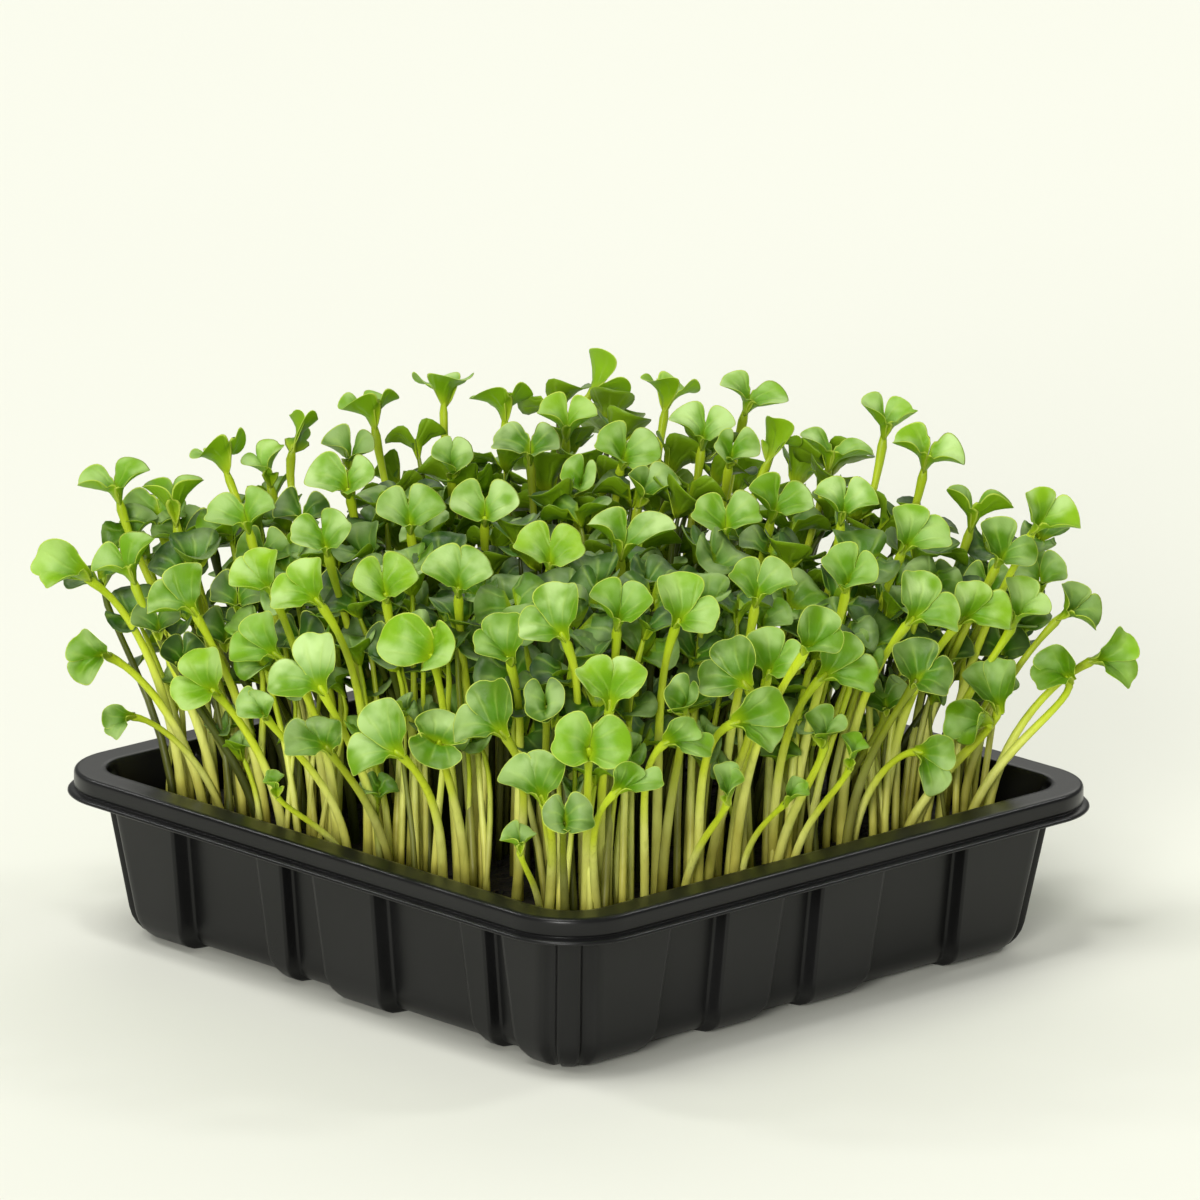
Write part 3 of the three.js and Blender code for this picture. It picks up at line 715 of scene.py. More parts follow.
@dataclass
class SeedlingForm:
    """Turns a growth into mesh: a tapered stem and two cupped, notched seed leaves.

    Each form starts as a UV sphere, whose rings are laid along the stem or out over the leaf.
    Pairs are the ranges of each leaf's own draws.
    """

    detail: Detail
    thickness: float = 0.38
    neck_thickness: float = 0.9
    cup: float = 2.5
    cup_share: Pair = (0.5, 1.3)
    arch: Pair = (0.35, 1.25)
    droop: Pair = (-0.2, 0.9)
    lean: Pair = (-0.5, 0.5)
    fold: float = 0.5
    wave: float = 0.14
    wrap: float = 34.0
    sink: float = 1.3
    middle: float = 0.53
    reach: float = 0.47
    half_width: float = 0.52
    notch: Pair = (0.05, 0.24)
    notch_angle: float = 0.34
    neck_angle: float = 0.52
    neck_pull: float = 0.22
    parting: float = 1.06
    parting_gap: float = 0.04
    bends: Pair = (0.45, 0.25)
    wander: float = 0.85
    stem_taper: float = 0.30
    end_taper: float = 0.55
    end_flare: float = 0.45
    draw: random.Random = field(default_factory=lambda: random.Random(7))

    def add(self, mesh: Mesh, growth: Growth) -> None:
        """Add one whole seedling to a mesh."""
        self._add_stem(mesh, growth)
        for leaf, other in zip(growth.leaves, reversed(growth.leaves)):
            self._add_leaf(mesh, growth, leaf, other)

    def _lay(self, mesh: Mesh, growth: Growth, part: Part, place: Place) -> None:
        """Lay a closed form out from a UV sphere.

        Args:
            mesh: The mesh that the form joins.
            growth: The seedling.
            part: The skin of the form.
            place: Gives the point in millimetres and the values of the first four attributes,
                from the shares round and from pole to pole.
        """
        around, rings = self.detail.leaf if part is Part.LEAF else self.detail.stem
        made = bmesh.ops.create_uvsphere(mesh, u_segments=around, v_segments=rings, radius=1.0)
        layers = [mesh.verts.layers.float[name] for name in ATTRIBUTES]
        # Leaves take the seedling's tone less its leaf_shade; both paint shade on the leaves.
        own = (growth.tone - growth.leaf_shade * (part is Part.LEAF), growth.wax)
        for vertex in made["verts"]:
            at = vertex.co.copy()
            turn = (math.atan2(at.y, at.x) / math.tau) % 1.0
            point, values = place(turn, math.acos(clamp(at.z, -1.0, 1.0)) / math.pi)
            vertex.co = point * MM
            for layer, value in zip(layers, (*values, *own)):
                vertex[layer] = value
        for face in faces_of(made["verts"]):
            face.material_index = part.value
            face.smooth = True

    def _edge_at(self, turn: float, notch: float) -> Pair:
        """Find a point of a leaf's rounded outline.

        Args:
            turn: The share of a turn round the outline, from the tip.
            notch: How deep the tip is notched, as a share of the leaf's half length.

        Returns:
            The place along the leaf and across it, as shares of its length and width.
        """
        angle = turn * math.tau
        off_tip = min(angle, math.tau - angle)
        reach = 1.0 - notch * math.exp(-((off_tip / self.notch_angle) ** 2))
        reach += self.neck_pull * math.exp(-(((math.pi - off_tip) / self.neck_angle) ** 2))
        along = self.middle + self.reach * reach * math.cos(angle)
        return along, self.half_width * reach * math.sin(angle)

    def _parted(self, across: float, along: float, slope: float) -> float:
        """Keep an inner edge on its own side of the line that parts the two leaves.

        Args:
            across: The edge's place across the leaf, positive toward the other leaf.
            along: Its place along the leaf.
            slope: How fast the parting line leaves the leaf's middle.

        Returns:
            The place across the leaf, blended into the line where it would cross it.
        """
        if across <= 0.0:
            return across
        limit = self.parting_gap + max(0.0, along) * slope
        return across / (1.0 + (across / limit) ** 3) ** (1 / 3)

    def _add_leaf(self, mesh: Mesh, growth: Growth, leaf: Vector, other: Vector) -> None:
        """Add one seed leaf that starts at the joint, beside the other one."""
        length, forward = leaf.length, leaf.normalized()
        normal = (growth.facing - forward * growth.facing.dot(forward)).normalized()
        sideways = normal.cross(forward)
        inner = math.copysign(1.0, sideways.dot(other))
        half_angle = clamp(forward.angle(other) / 2, 0.35, 1.45)
        slope = math.tan(half_angle) * length / growth.width * self.parting
        spans = (self.arch, self.droop, self.lean, self.cup_share, self.notch, (0.0, math.tau))
        arch, droop, lean, cup_share, notch, phase = (self.draw.uniform(*span) for span in spans)

        def place(turn: float, polar: float) -> tuple[Vector, Sequence[float]]:
            """Lay the sphere's rings out over the leaf."""
            edge = self._edge_at(turn, notch)
            reach = math.sin(polar * math.pi)
            along = self.middle + (edge[0] - self.middle) * reach
            across = self._parted(edge[1] * inner, edge[0], slope) * inner * reach
            layer = math.cos(polar * math.pi)
            neck = 1.0 - smooth_step(0.0, 0.3, along)
            body = self.thickness + (self.neck_thickness - self.thickness) * neck
            lift = (self.cup * cup_share * 4.0 + self.wrap * neck) * across * across
            lift += self.fold * abs(across) * (1.0 - neck)
            lift += arch * 4.0 * along * (1.0 - along) + lean * across - droop * along ** 4
            lift += self.wave * math.sin(5.0 * along + 9.0 * across + phase) * (1.0 - neck)
            base = 1.0 - smooth_step(-0.05, 0.24, along)
            point = growth.joint + forward * (along * length) + sideways * (across * growth.width)
            point -= growth.axis * (self.sink * base)
            point += normal * (lift + layer * body * 0.5 - growth.stem * 0.5 * base)
            return point, (along, across, reach if polar < 0.5 else reach * 0.999, 0.5 + 0.5 * layer)

        self._lay(mesh, growth, Part.LEAF, place)

    def _add_stem(self, mesh: Mesh, growth: Growth) -> None:
        """Add the stem, upright at the root and bending into the joint."""
        foot = growth.root - UP * ROOT_DEPTH
        rise = growth.joint.z - growth.root.z
        first = growth.root + UP * (rise * self.bends[0])
        second = growth.joint - growth.axis * (rise * self.bends[1])
        flat = growth.leaves[0].normalized() - growth.leaves[1].normalized()
        flat = (flat - growth.axis * flat.dot(growth.axis)).normalized()
        wander = stray(self.draw) * self.wander
        rings = self.detail.stem[1]

        def curve(share: float) -> Vector:
            """Return a point of the stem's middle line."""
            rest = 1.0 - share
            point = foot * rest ** 3 + first * (3 * rest * rest * share)
            point += second * (3 * rest * share * share) + growth.joint * share ** 3
            return point + wander * math.sin(share * math.pi)

        def place(turn: float, polar: float) -> tuple[Vector, Sequence[float]]:
            """Lay the sphere's rings along the stem."""
            ring = round(polar * rings)
            share = 1.0 - clamp((ring - 1) / (rings - 2), 0.0, 1.0)
            tangent = (curve(min(1.0, share + 0.02)) - curve(max(0.0, share - 0.02))).normalized()
            wide = (flat - tangent * flat.dot(tangent)).normalized()
            deep = tangent.cross(wide)
            flare = smooth_step(0.80, 0.96, share)
            radius = growth.stem * (1.08 - self.stem_taper * smooth_step(0.1, 0.8, share))
            radius *= 1.0 - self.end_taper * smooth_step(0.93, 1.0, share)
            radius *= 0.0 if ring in (0, rings) else 1.0
            angle = turn * math.tau
            point = curve(share) + growth.axis * (0.25 if ring == 0 else 0.0)
            point += wide * (math.cos(angle) * radius * (1.0 + self.end_flare * flare))
            point += deep * (math.sin(angle) * radius * (1.0 + 0.1 * flare))
            return point, (share, 0.0, 0.0, 1.0)

        self._lay(mesh, growth, Part.STEM, place)


def faces_of(vertices: Iterable[bmesh.types.BMVert]) -> set[bmesh.types.BMFace]:
    """Return the faces that touch any of the vertices."""
    return {face for vertex in vertices for face in vertex.link_faces}


def add_object(name: str, mesh: Mesh, skins: Iterable[Material]) -> bpy.types.Object:
    """Turn a bmesh into an object of the scene.

    Args:
        name: The object's name.
        mesh: The mesh in metres, which is freed.
        skins: The materials in the order of their slots.

    Returns:
        The new object.
    """
    data = bpy.data.meshes.new(name)
    mesh.to_mesh(data)
    mesh.free()
    for skin in skins:
        data.materials.append(skin)
    made = bpy.data.objects.new(name, data)
    bpy.context.scene.collection.objects.link(made)
    LOG.info("%s: %d faces", name, len(data.polygons))
    return made


def add_piece(name: str, mesh: Mesh, skins: Iterable[Material], node: str = "") -> None:
    """Turn a bmesh into a piece that rides on the body.

    Args:
        name: The piece's name.
        mesh: The mesh in metres, which is freed.
        skins: The materials in the order of their slots.
        node: The CAD node that the piece replaces, if any.
    """
    piece = add_object(name, mesh, skins)
    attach(piece, "root")
    if node:
        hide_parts(node)


class Loft:
    """A surface that grows outline by outline, each loop of edges extruded from the last."""

    def __init__(self, outlines: Iterable[Sequence[Vector]]) -> None:
        """Lay a closed surface through the outlines.

        Args:
            outlines: Loops with equal numbers of points in millimetres, anticlockwise. The
                first and the last are capped.
        """
        first, *others = outlines
        self.mesh = bmesh.new()
        made = bmesh.ops.create_circle(self.mesh, cap_ends=True, segments=len(first), radius=1.0)
        self.loop = sorted(made["verts"], key=lambda v: math.atan2(v.co.y, v.co.x) % math.tau)
        self._lay(first)
        for outline in others:
            self._grow(outline)
        bmesh.ops.contextual_create(self.mesh, geom=self.loop)
        bmesh.ops.recalc_face_normals(self.mesh, faces=self.mesh.faces)
        for face in self.mesh.faces:
            face.smooth = len(face.verts) == 4

    def _lay(self, outline: Sequence[Vector]) -> None:
        """Move the last loop to an outline."""
        for vertex, point in zip(self.loop, outline):
            vertex.co = point * MM

    @staticmethod
    def _edge(first: bmesh.types.BMVert, second: bmesh.types.BMVert) -> bmesh.types.BMEdge:
        """Return the edge between two neighbours."""
        return next(edge for edge in first.link_edges if edge.other_vert(first) == second)

    def _grow(self, outline: Sequence[Vector]) -> None:
        """Extrude the last loop and lay the new one on an outline."""
        edges = [self._edge(self.loop[i - 1], self.loop[i]) for i in range(len(self.loop))]
        grown = bmesh.ops.extrude_edge_only(self.mesh, edges=edges)["geom"]
        fresh = [v for v in grown if isinstance(v, bmesh.types.BMVert)]
        above = {tuple(round(c, 9) for c in v.co): v for v in fresh}
        self.loop = [above[tuple(round(c, 9) for c in v.co)] for v in self.loop]
        self._lay(outline)


@dataclass
class Tray:
    """The moulded tray: flat base, drafted stepped walls, rolled rim with a hanging band.

    Lengths are millimetres and angles are degrees. A wall's steps give where it changes its
    level, from its middle, and how far it then lies behind the face of its pilasters.
    """

    rim_side: float = 130.0
    height: float = TRAY_HEIGHT
    rim_radius: float = 13.2
    flange: float = 5.2
    band: float = 4.3
    band_lip: float = 1.1
    lip_height: float = 0.9
    edge_round: float = 0.8
    mouth: float = 1.2
    sheet: float = 0.9
    body_half: float = 60.3
    body_radius: float = 8.4
    draft: float = 7.9
    foot: float = 5.3
    taper: float = 1.2
    most_narrowing: float = 1.2
    relief_top: float = 25.2
    relief_fade: float = 2.6
    fade_lift: float = 0.6
    groove: float = 1.2
    groove_span: tuple[float, float, float, float] = (12.0, 18.0, 25.0, 34.0)
    corner_steps: int = 30
    foot_steps: int = 7
    edge_steps: int = 6
    mouth_steps: int = 5
    edge_flat: float = 0.35
    mouth_flat: Pair = (0.75, 0.4)
    inner_foot: Pair = (0.15, 0.55)
    wall_shares: tuple[float, ...] = (0.04, 0.35, 0.65, 0.96, 1.0)
    inner_shares: tuple[float, ...] = (0.04, 0.5, 1.0)
    fade_shares: tuple[float, ...] = (0.12, 0.5, 0.88, 1.0)
    lip_curve: tuple[Pair, ...] = (
        (0.15, 0.06), (0.6, 0.0), (0.85, 0.03), (1.0, 0.2), (0.97, 0.42), (0.80, 0.62), (0.42, 0.78),
    )
    crease: tuple[Pair, ...] = ((0.05, 0.88), (-0.30, 1.00), (-0.32, 1.12), (-0.06, 1.30), (0.0, 1.5))
    x_walls: tuple[Pair, ...] = (
        (-35.0, 2.4), (-23.0, 0.0), (-8.5, 2.4), (-0.6, 0.0), (15.4, 2.4), (34.0, 0.0),
    )
    y_walls: tuple[Pair, ...] = (
        (-37.5, 3.1), (-18.8, 1.0), (-11.4, 3.1), (-3.6, 0.0),
        (12.3, 3.1), (31.3, 1.0), (38.3, 3.1), (42.6, 0.0),
    )
    flank: tuple[Pair, ...] = (
        (-0.85, 0.0), (-0.28, 0.0), (-0.14, 0.14), (0.0, 0.5), (0.14, 0.86), (0.28, 1.0), (0.85, 1.0),
    )

    def half_at(self, z: float) -> float:
        """Return half the body's outer side at a height."""
        return self.body_half - (self.height - z) * math.tan(math.radians(self.draft))

    def stations(self, side: int, narrower: float) -> list[Pair]:
        """List the points of a wall's outline.

        Args:
            side: The wall, counted anticlockwise from the +X wall.
            narrower: How far each raised part's flanks move in.

        Returns:
            The places along the wall, each with how far the wall lies back there.
        """
        places = []
        before = 0.0
        for along, after in (self.x_walls, self.y_walls)[side % 2]:
            middle = along + math.copysign(narrower, before - after)
            step = after - before
            places += [(middle + offset, before + step * share) for offset, share in self.flank]
            before = after
        return places

    def groove_at(self, off: float) -> float:
        """Return the depth of a corner column's groove at an angle off the column's middle."""
        inner, floor_start, floor_end, outer = self.groove_span
        return self.groove * (smooth_step(inner, floor_start, off) - smooth_step(floor_end, outer, off))

    def ring(self, half: float, radius: float, z: float, relief: float, narrower: float) -> list[Vector]:
        """Return one outline round the tray, in millimetres.

        Args:
            half: Half the outline's side.
            radius: The radius of its corners.
            z: Its height.
            relief: How much of the steps and grooves shows, from 0 to 1.
            narrower: How far each raised part's flanks move in.

        Returns:
            The outline's points, anticlockwise from the near end of the +X wall's corner.
        """
        points = []
        straight = half - radius
        for side in range(4):
            turned = Matrix.Rotation(side * math.pi / 2, 3, "Z")
            for step in range(self.corner_steps + 1):
                degrees = 90.0 * step / self.corner_steps - 90.0
                reach = radius - relief * self.groove_at(abs(degrees + 45.0))
                angle = math.radians(degrees)
                x, y = straight + reach * math.cos(angle), reach * math.sin(angle) - straight
                points.append(turned @ Vector((x, y, z)))
            for along, level in self.stations(side, narrower):
                points.append(turned @ Vector((half - level * relief, along, z)))
        return points

    def body_ring(self, z: float, inset: float, relief: float = 1.0) -> list[Vector]:
        """Return an outline of the body at a height, set in from its outer surface."""
        depth = min(inset, self.body_radius - 1.0)
        narrower = self.taper * (self.height - z) / self.height + min(inset, self.most_narrowing)
        return self.ring(self.half_at(z) - inset, self.body_radius - depth, z, relief, narrower)

    def fading_ring(self, start: float, inset: float, share: float) -> list[Vector]:
        """Return an outline of the body at a share of the height over which the relief runs out."""
        return self.body_ring(start + self.relief_fade * share, inset, 1.0 - smooth_step(0, 1, share))

    def rim_ring(self, outset: float, z: float) -> list[Vector]:
        """Return an outline of the rim, moved out from its outer side."""
        return self.ring(self.rim_side / 2 + outset, self.rim_radius + outset, z, 0.0, 0.0)

    def profile(self) -> Iterable[list[Vector]]:
        """Give the outlines from the base's middle, up outside and down inside."""
        for low, out in quarter(self.foot_steps):
            yield self.body_ring(self.foot * low, self.foot * (1 - out))
        for share in self.wall_shares:
            yield self.body_ring(self.foot + (self.relief_top - self.foot) * share, 0.0)
        for share in self.fade_shares:
            yield self.fading_ring(self.relief_top, 0.0, share)
        yield self.body_ring(self.height - self.sheet, 0.0, 0.0)
        yield from self.band_profile()
        yield from self.mouth_profile()
        inside_top = self.relief_top + self.fade_lift
        for share in (*reversed(self.fade_shares), 0.0):
            yield self.fading_ring(inside_top, self.sheet, share)
        bottom = self.foot + self.sheet
        for share in self.inner_shares:
            yield self.body_ring(inside_top - (inside_top - bottom) * share, self.sheet)
        low, out = self.inner_foot
        yield self.body_ring(self.sheet + self.foot * low, self.foot * out + self.sheet)
        yield self.body_ring(self.sheet, self.foot + self.sheet / 2)

    def band_profile(self) -> Iterable[list[Vector]]:
        """Give the outlines from under the flange, round the band's lip, to its top edge."""
        bottom = self.height - self.band
        yield self.rim_ring(-self.sheet, self.height - self.sheet)
        yield self.rim_ring(-self.sheet, bottom + self.lip_height)
        for share, rise in self.lip_curve:
            yield self.rim_ring(self.band_lip * share, bottom + rise)
        for outset, rise in (*self.crease, (0.0, self.band - self.edge_round - 0.25)):
            yield self.rim_ring(outset, bottom + rise)
        for low, out in quarter(self.edge_steps):
            yield self.rim_ring(-self.edge_round * low, self.height - self.edge_round * (1 - out))
        yield self.rim_ring(-self.edge_round - self.edge_flat, self.height)

    def mouth_profile(self) -> Iterable[list[Vector]]:
        """Give the outlines from the flange's top over its rounded inner edge."""
        for outset in self.mouth_flat:
            yield self.rim_ring(-self.flange + outset, self.height)
        start, round_start = self.rim_side / 2 - self.flange, self.rim_radius - self.flange
        end = self.half_at(self.height - self.mouth) - self.sheet
        for low, share in list(quarter(self.mouth_steps + 1))[1:]:
            half = start + (end - start) * share
            radius = round_start + (self.body_radius - round_start) * share - self.sheet * share
            yield self.ring(half, radius, self.height - self.mouth * low, 0.0, self.sheet * share)

    def build(self, skin: Material) -> None:
        """Make the tray's piece of the plastic."""
        add_piece("moulded_tray", Loft(self.profile()).mesh, [skin], "tray")


@dataclass
class Medium:
    """The block of growing medium with its uneven top and loose crumbs, in millimetres."""

    tray: Tray
    gap: float = 0.3
    unevenness: float = 1.1
    broad_scale: float = 0.045
    rough_scale: float = 0.22
    shoulder: Pair = (2.4, 0.7)
    crumbs: int = 420
    crumb_size: Pair = (0.35, 1.1)
    edge_margin: float = 5.0
    insets: tuple[float, ...] = (
        0.0, 0.6, 1.3, 2.1, 3.0, 4.0, 5.1, 6.3, 7.6, 9.0, 10.6, 12.4, 14.5, 17.0, 20.0, 23.5, 27.5,
        32.0, 37.0, 42.5, 48.5, 54.0,
    )

    def height_at(self, x: float, y: float) -> float:
        """Return how far the top stands above its usual level."""
        broad = noise.noise(Vector((x * self.broad_scale, y * self.broad_scale, 3.0)))
        rough = Vector((x * self.rough_scale, y * self.rough_scale, 8.0))
        rough = noise.fractal(rough, 0.9, 2.1, 4)
        return self.unevenness * (0.7 * broad + 0.45 * rough) - 0.6

    def profile(self) -> Iterable[list[Vector]]:
        """Give the outlines from the base's middle, up the sides and over the top."""
        wall = self.tray.sheet + self.gap
        yield self.tray.body_ring(wall, self.tray.foot + wall + 1.0)
        yield self.tray.body_ring(wall + self.tray.foot, wall)
        yield self.tray.body_ring(MEDIUM_TOP - self.shoulder[0], wall)
        top = self.tray.body_ring(MEDIUM_TOP, wall + self.shoulder[1])
        half = max(point.x for point in top)
        for inset in self.insets:
            share = 1.0 - inset / half
            flat = [(point.x * share, point.y * share) for point in top]
            yield [Vector((x, y, MEDIUM_TOP + self.height_at(x, y))) for x, y in flat]

    def build(self, skin: Material) -> None:
        """Make the medium's piece of the moist medium."""
        mesh = Loft(self.profile()).mesh
        self._add_crumbs(mesh, self.tray.half_at(MEDIUM_TOP) - self.edge_margin)
        add_piece("coir_medium", mesh, [skin], "growing_medium")

    def _add_crumbs(self, mesh: Mesh, half: float) -> None:
        """Strew small clods over the top."""
        draw = random.Random(11)
        for _ in range(self.crumbs):
            x, y = (draw.uniform(-half, half) for _ in range(2))
            size = draw.uniform(*self.crumb_size)
            made = bmesh.ops.create_icosphere(mesh, subdivisions=1, radius=size * MM)
            squash = draw.uniform(0.5, 0.9)
            centre = Vector((x, y, MEDIUM_TOP + self.height_at(x, y) + 0.25 * size)) * MM
            turn = Matrix.Rotation(draw.uniform(0, math.tau), 3, "Z")
            for vertex in made["verts"]:
                bumped = vertex.co * draw.uniform(0.75, 1.2)
                vertex.co = centre + turn @ Vector((bumped.x, bumped.y * 0.8, bumped.z * squash))
            for face in faces_of(made["verts"]):
                face.smooth = True


@dataclass
class Stand:
    """The stand of seedlings: those measured in the view, and those that fill it.

    Lengths are millimetres and pairs are ranges. A bunch gives the columns of the view between
    which its stems come up behind a near wall, and how many there are.
    """

    skins: Sequence[Material]
    seed: int = 2024
    grid: int = 20
    half: float = 52.0
    canopy: float = 47.0
    drop: float = 13.0
    clearance: float = 6.6
    near_gap: float = 17.0
    blocks: int = 4
    tries: int = 22
    bunches: tuple[tuple[float, float, int], ...] = (
        (158, 204, 4), (212, 272, 6), (298, 350, 6), (372, 446, 8), (474, 498, 3), (540, 642, 10),
        (670, 706, 4), (730, 836, 9), (862, 916, 6), (948, 1008, 6),
    )
    bunch_behind: Pair = (2.0, 12.0)
    bunch_lead: Pair = (0.02, 0.18)
    bunch_fan: Pair = (0.5, 5.0)
    bunch_inward: Pair = (1.0, 15.0)
    bunch_rise: Pair = (22.0, 33.0)
    # The shade and tone ranges below paint shade on leaves and stems where they run low.
    bunch_shade: Pair = (0.3, 0.8)
    bunch_tone_and_shade: Pair = (-0.32, 0.9)
    bunch_size: Pair = (0.72, 0.98)
    late_share: float = 0.75
    late_rise: Pair = (14.0, 32.0)
    late_tone_and_shade: Pair = (-0.35, 0.35)
    late_size: Pair = (0.35, 0.7)
    grid_rise: Pair = (0.36, 0.9)
    # Low grid tones paint the filling seedlings in shade, their stems nearly black.
    grid_tone_and_shade: Pair = (-0.85, 0.0)
    grid_size: Pair = (0.82, 1.08)
    leaf_rise: Pair = (8.0, 42.0)
    stem_share: Pair = (0.70, 0.98)
    joints: list[Vector] = field(default_factory=list)

    def __post_init__(self) -> None:
        """Seed the random draws."""
        self.draw = random.Random(self.seed)

    def build(self) -> None:
        """Make all the seedlings' pieces."""
        form = SeedlingForm(FINE)
        for index, growth in enumerate(self._measured(SEEDLINGS), start=1):
            self._add(f"sprout_{index:02d}", form, [growth], f"seedling_{index:02d}")
        for index, growth in enumerate(self._measured(BETWEEN), start=1):
            self._add(f"sprout_between_{index:02d}", form, [growth])
        self._add("sprouts_behind", form, list(self._measured(BEHIND)))
        form = SeedlingForm(COARSE)
        for (column, row), growths in sorted(self._filling_blocks().items()):
            self._add(f"sprouts_{column}_{row}", form, growths)

    def _measured(self, group: Group) -> Iterable[Growth]:
        """Grow the seedlings of a measured group."""
        for seen in group.seen:
            yield Growth.from_seen(seen, self.draw.uniform(*group.tone), self.draw.uniform(*group.wax))

    def _add(self, name: str, form: SeedlingForm, growths: list[Growth], node: str = "") -> None:
        """Make one piece of one or more seedlings.

        Args:
            name: The piece's name.
            form: The form of its seedlings.
            growths: The seedlings.
            node: The CAD node that it replaces, if any.
        """
        mesh = bmesh.new()
        for attribute in ATTRIBUTES:
            mesh.verts.layers.float.new(attribute)
        for growth in growths:
            form.add(mesh, growth)
            self.joints.append(growth.joint)
        bmesh.ops.recalc_face_normals(mesh, faces=mesh.faces)
        add_piece(name, mesh, self.skins, node)

    def _filling_blocks(self) -> dict[tuple[int, int], list[Growth]]:
        """Grow the seedlings that fill the stand, sorted into square blocks by their roots."""
        blocks: dict[tuple[int, int], list[Growth]] = {}
        step = 2 * self.half / self.blocks
        for growth in [*self._bunch_growths(), *self._grid_growths()]:
            key = tuple(clamp(int((c + self.half) / step), 0, self.blocks - 1) for c in growth.root[:2])
            blocks.setdefault(key, []).append(growth)
        return blocks

    def _bunch_growths(self) -> Iterable[Growth]:
        """Grow the bunches behind the near walls, whose stems fan out from close roots."""
        draw = self.draw
        for start, end, count in self.bunches:
            middle, half_width = (start + end) / 2, (end - start) / 2
            for index in range(count):
                place = 2.0 * (index + draw.uniform(0.2, 0.8)) / count - 1.0
                across = (middle + half_width * place * 0.85 - VIEW.rim_centre[0]) * VIEW.mm_per_pixel
                row = self.half * math.sqrt(2) - abs(across) - draw.uniform(*self.bunch_behind)
                root = self._rooted(VIEW.right * across + VIEW.nearward * row)
                for _ in range(self.tries):
                    lead = across * draw.uniform(*self.bunch_lead)
                    lead += place * draw.uniform(*self.bunch_fan)
                    inward = draw.uniform(*self.bunch_inward)
                    joint = root + VIEW.right * lead - VIEW.nearward * inward
                    joint.z = TRAY_HEIGHT + draw.uniform(*self.bunch_rise) + inward * 0.6
                    if self._is_free(joint, self.clearance * 0.7):
                        break
                lean = VIEW.nearward * 0.5 + VIEW.right * (across / 110.0)
                self.joints.append(joint)
                growth = self._leafed(root, joint, lean, self.bunch_tone_and_shade, self.bunch_size)
                growth.leaf_shade = draw.uniform(*self.bunch_shade)
                yield growth
                if draw.random() < self.late_share:
                    yield self._late(root + VIEW.right * draw.uniform(-3.0, 3.0), lean)

    def _late(self, root: Vector, lean: Vector) -> Growth:
        """Grow a late, small seedling that stays low between the stems."""
        draw = self.draw
        drift = VIEW.right * draw.uniform(-4.0, 4.0) - VIEW.nearward * draw.uniform(-1.0, 4.0)
        joint = root + drift + UP * draw.uniform(*self.late_rise)
        return self._leafed(root, joint, lean, self.late_tone_and_shade, self.late_size)

    def _grid_growths(self) -> Iterable[Growth]:
        """Grow the filling seedlings from a jittered grid of roots behind the bunches."""
        draw = self.draw
        step = 2 * self.half / self.grid
        for column, row in product(range(self.grid), repeat=2):
            x, y = (-self.half + step * (cell + draw.uniform(0.1, 0.9)) for cell in (column, row))
            if x > self.half - self.near_gap or y < self.near_gap - self.half:
                continue
            root = self._rooted(Vector((x, y, 0.0)))
            joint = self._filling_joint(root)
            if joint is None:
                continue
            self.joints.append(joint)
            lean = Vector((joint.x, joint.y, 0.0)) / 60.0
            yield self._leafed(root, joint, lean, self.grid_tone_and_shade, self.grid_size)

    def _rooted(self, place: Vector) -> Vector:
        """Return a root on the medium's top, kept inside the walls."""
        return Vector((*(clamp(c, -self.half, self.half) for c in place[:2]), MEDIUM_TOP))

    def _is_free(self, joint: Vector, clearance: float) -> bool:
        """Return whether no other joint is closer than the clearance."""
        return all((joint - other).length > clearance for other in self.joints)

    def _filling_joint(self, root: Vector) -> Vector | None:
        """Find a free place for a filling seedling's joint.

        Args:
            root: Where the stem leaves the medium.

        Returns:
            The joint, or None where the stand is already full.
        """
        draw = self.draw
        for _ in range(self.tries):
            spread = 1.0 / ROOT_SPREAD * draw.uniform(0.9, 1.04)
            level = Vector((root.x * spread, root.y * spread, 0.0)) + stray(draw, 2.5)
            edge = max(abs(level.x), abs(level.y)) / (self.half / ROOT_SPREAD)
            behind = smooth_step(0.0, 45.0 * math.sqrt(2), -level.dot(VIEW.nearward))
            height = self.canopy - self.drop * smooth_step(0.6, 1.0, edge) * (1.0 - behind)
            share = draw.uniform(*self.grid_rise) + behind * draw.uniform(0.0, 0.16)
            joint = level + UP * (TRAY_HEIGHT + height * share)
            if self._is_free(joint, self.clearance * (1.0 - 0.3 * behind)):
                return joint
        return None

    def _leafed(self, root: Vector, joint: Vector, lean: Vector, tones_and_shades: Pair, sizes: Pair) -> Growth:
        """Give a filling seedling its two leaves.

        Args:
            root: Where the stem leaves the medium.
            joint: Where the leaves start.
            lean: How far the seedling leans.
            tones_and_shades: How fresh its green may be, and how much painted shade it gets.
            sizes: How large its leaves may be beside the usual ones.

        Returns:
            The seedling in space.
        """
        draw = self.draw
        tone, size = draw.uniform(*tones_and_shades), draw.uniform(*sizes)
        heading = draw.uniform(0.0, math.tau)
        axis = (UP * 1.4 + lean + stray(draw) * 0.45).normalized()
        level = Vector((math.cos(heading), math.sin(heading), 0.0))
        sideways = (level - axis * level.dot(axis)).normalized()
        rise = math.radians(draw.uniform(*self.leaf_rise))
        pair = (sideways * (sign * math.cos(rise)) + axis * math.sin(rise) for sign in (1, -1))
        leaves = tuple(leaf * LEAF_LENGTH * size for leaf in pair)
        wax = draw.uniform(0.0, 0.8)
        width = LEAF_WIDTH * size * draw.uniform(0.95, 1.1)
        stem = stem_radius(size) * draw.uniform(*self.stem_share)
        return Growth(root, joint, leaves, axis, axis, tone, wax, width, stem)


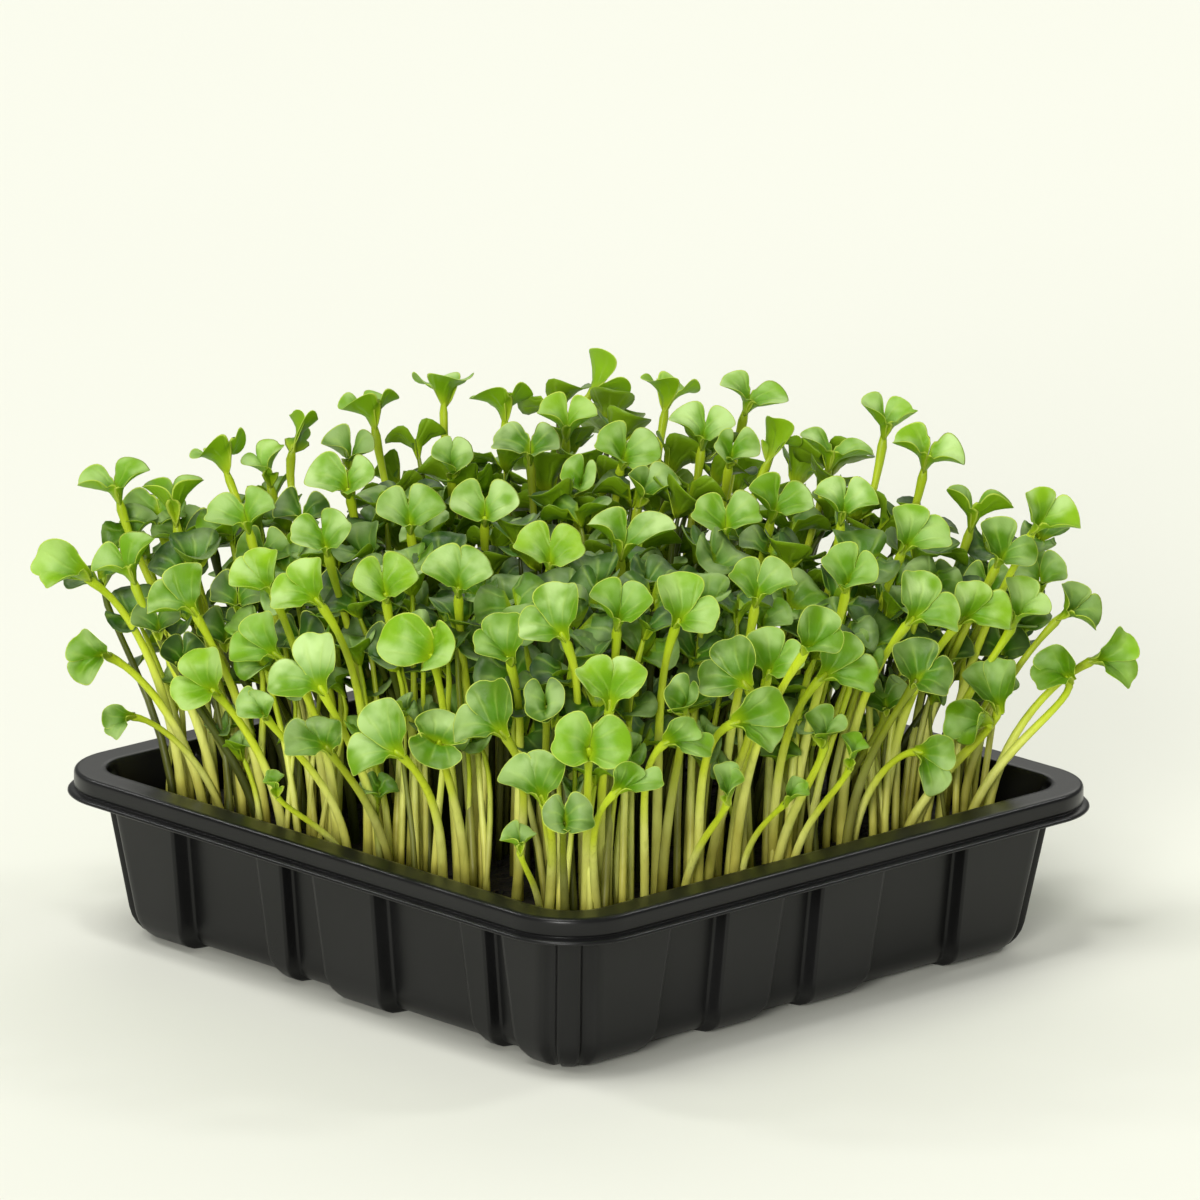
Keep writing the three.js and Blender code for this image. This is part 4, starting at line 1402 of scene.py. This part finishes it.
@dataclass(frozen=True)
class Lamp:
    """A soft light that falls evenly on the whole studio.

    Its strength is in watts per square metre, and it softens over its spread in degrees. It
    comes from the direction towards it, as seen from the tray.
    """

    name: str
    strength: float
    spread: float
    towards: Triple
    colour: Colour = (1.0, 1.0, 1.0)


@dataclass
class Studio:
    """The plain floor, the soft lights and the camera. The floor's half side is in metres."""

    floor_half: float = 4.0
    sky: Colour = (0.97, 0.98, 0.94)
    sky_strength: float = 0.24
    sensor: float = 36.0
    clip_end: float = 20.0
    lamps: tuple[Lamp, ...] = (
        Lamp("key_softbox", 1.30, 26.0, (0.0, -0.38, 0.92), (1.0, 0.995, 0.97)),
        Lamp("back_softbox", 0.65, 45.0, (-0.45, 0.55, 0.62), (1.0, 1.0, 0.93)),
        Lamp("front_softbox", 2.35, 22.0, (0.50, -0.80, 0.28), (1.0, 0.995, 0.96)),
        Lamp("corner_edge_lamp", 0.45, 8.0, (0.20, -0.25, 0.95)),
        Lamp("left_edge_lamp", 0.45, 8.0, (-0.69, -0.26, 0.67)),
        Lamp("right_edge_lamp", 0.40, 8.0, (0.26, 0.67, 0.69)),
    )

    def build(self) -> None:
        """Make the floor, the lights and the camera."""
        bpy.context.scene.view_settings.view_transform = "Standard"
        mesh = bmesh.new()
        bmesh.ops.create_grid(mesh, x_segments=2, y_segments=2, size=self.floor_half)
        add_object("studio_floor", mesh, [PaleFloor().build()])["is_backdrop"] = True
        self._add_world()
        for lamp in self.lamps:
            self._add_lamp(lamp)
        self._add_camera()

    def _add_world(self) -> None:
        """Give the scene an even pale surrounding light."""
        world = bpy.data.worlds.new("studio")
        world.use_nodes = True
        background = world.node_tree.nodes["Background"]
        background.inputs["Color"].default_value = (*self.sky, 1.0)
        background.inputs["Strength"].default_value = self.sky_strength
        bpy.context.scene.world = world

    @staticmethod
    def _add_lamp(lamp: Lamp) -> None:
        """Add a light that shines on the stand."""
        light = bpy.data.lights.new(lamp.name, "SUN")
        light.energy = lamp.strength
        light.angle = math.radians(lamp.spread)
        light.color = lamp.colour
        holder = bpy.data.objects.new(lamp.name, light)
        holder.location = lamp.towards
        holder.rotation_euler = Vector(lamp.towards).to_track_quat("Z", "Y").to_euler()
        bpy.context.scene.collection.objects.link(holder)

    def _add_camera(self) -> None:
        """Add the camera of the measured view."""
        data = bpy.data.cameras.new("camera")
        data.sensor_width = self.sensor
        data.lens = self.sensor * VIEW.distance / (VIEW.frame_size * VIEW.mm_per_pixel)
        data.clip_end = self.clip_end
        data.dof.use_dof = False
        camera = bpy.data.objects.new("camera", data)
        across, up = VIEW.offset((VIEW.frame_size / 2, VIEW.frame_size / 2))
        centre = UP * TRAY_HEIGHT + VIEW.right * across + VIEW.up * up
        axes = Matrix((VIEW.right, VIEW.up, VIEW.to_viewer)).transposed()
        turned = axes @ Matrix.Rotation(math.radians(VIEW.roll), 3, "Z")
        moved = Matrix.Translation((centre + VIEW.to_viewer * VIEW.distance) * MM)
        camera.matrix_world = moved @ turned.to_4x4()
        bpy.context.scene.collection.objects.link(camera)
        bpy.context.scene.camera = camera


def write_sizes() -> None:
    """Gather the CAD box and the visual model's box; nothing is kept."""
    plain = lambda box: [[float(value) for value in corner] for corner in box]
    {"cad": plain(CAD_BOX), "visual": plain(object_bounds())}


def main() -> None:
    """Build the tray, its medium and its seedlings, and light them."""
    logging.basicConfig(level=logging.INFO, format="%(name)s %(message)s")
    tray = Tray()
    tray.build(TrayPlastic().build())
    Medium(tray).build(MoistMedium().build())
    Stand([LeafSkin().build(), StemSkin().build()]).build()
    Studio().build()
    write_sizes()


if __name__ == "__main__":
    main()
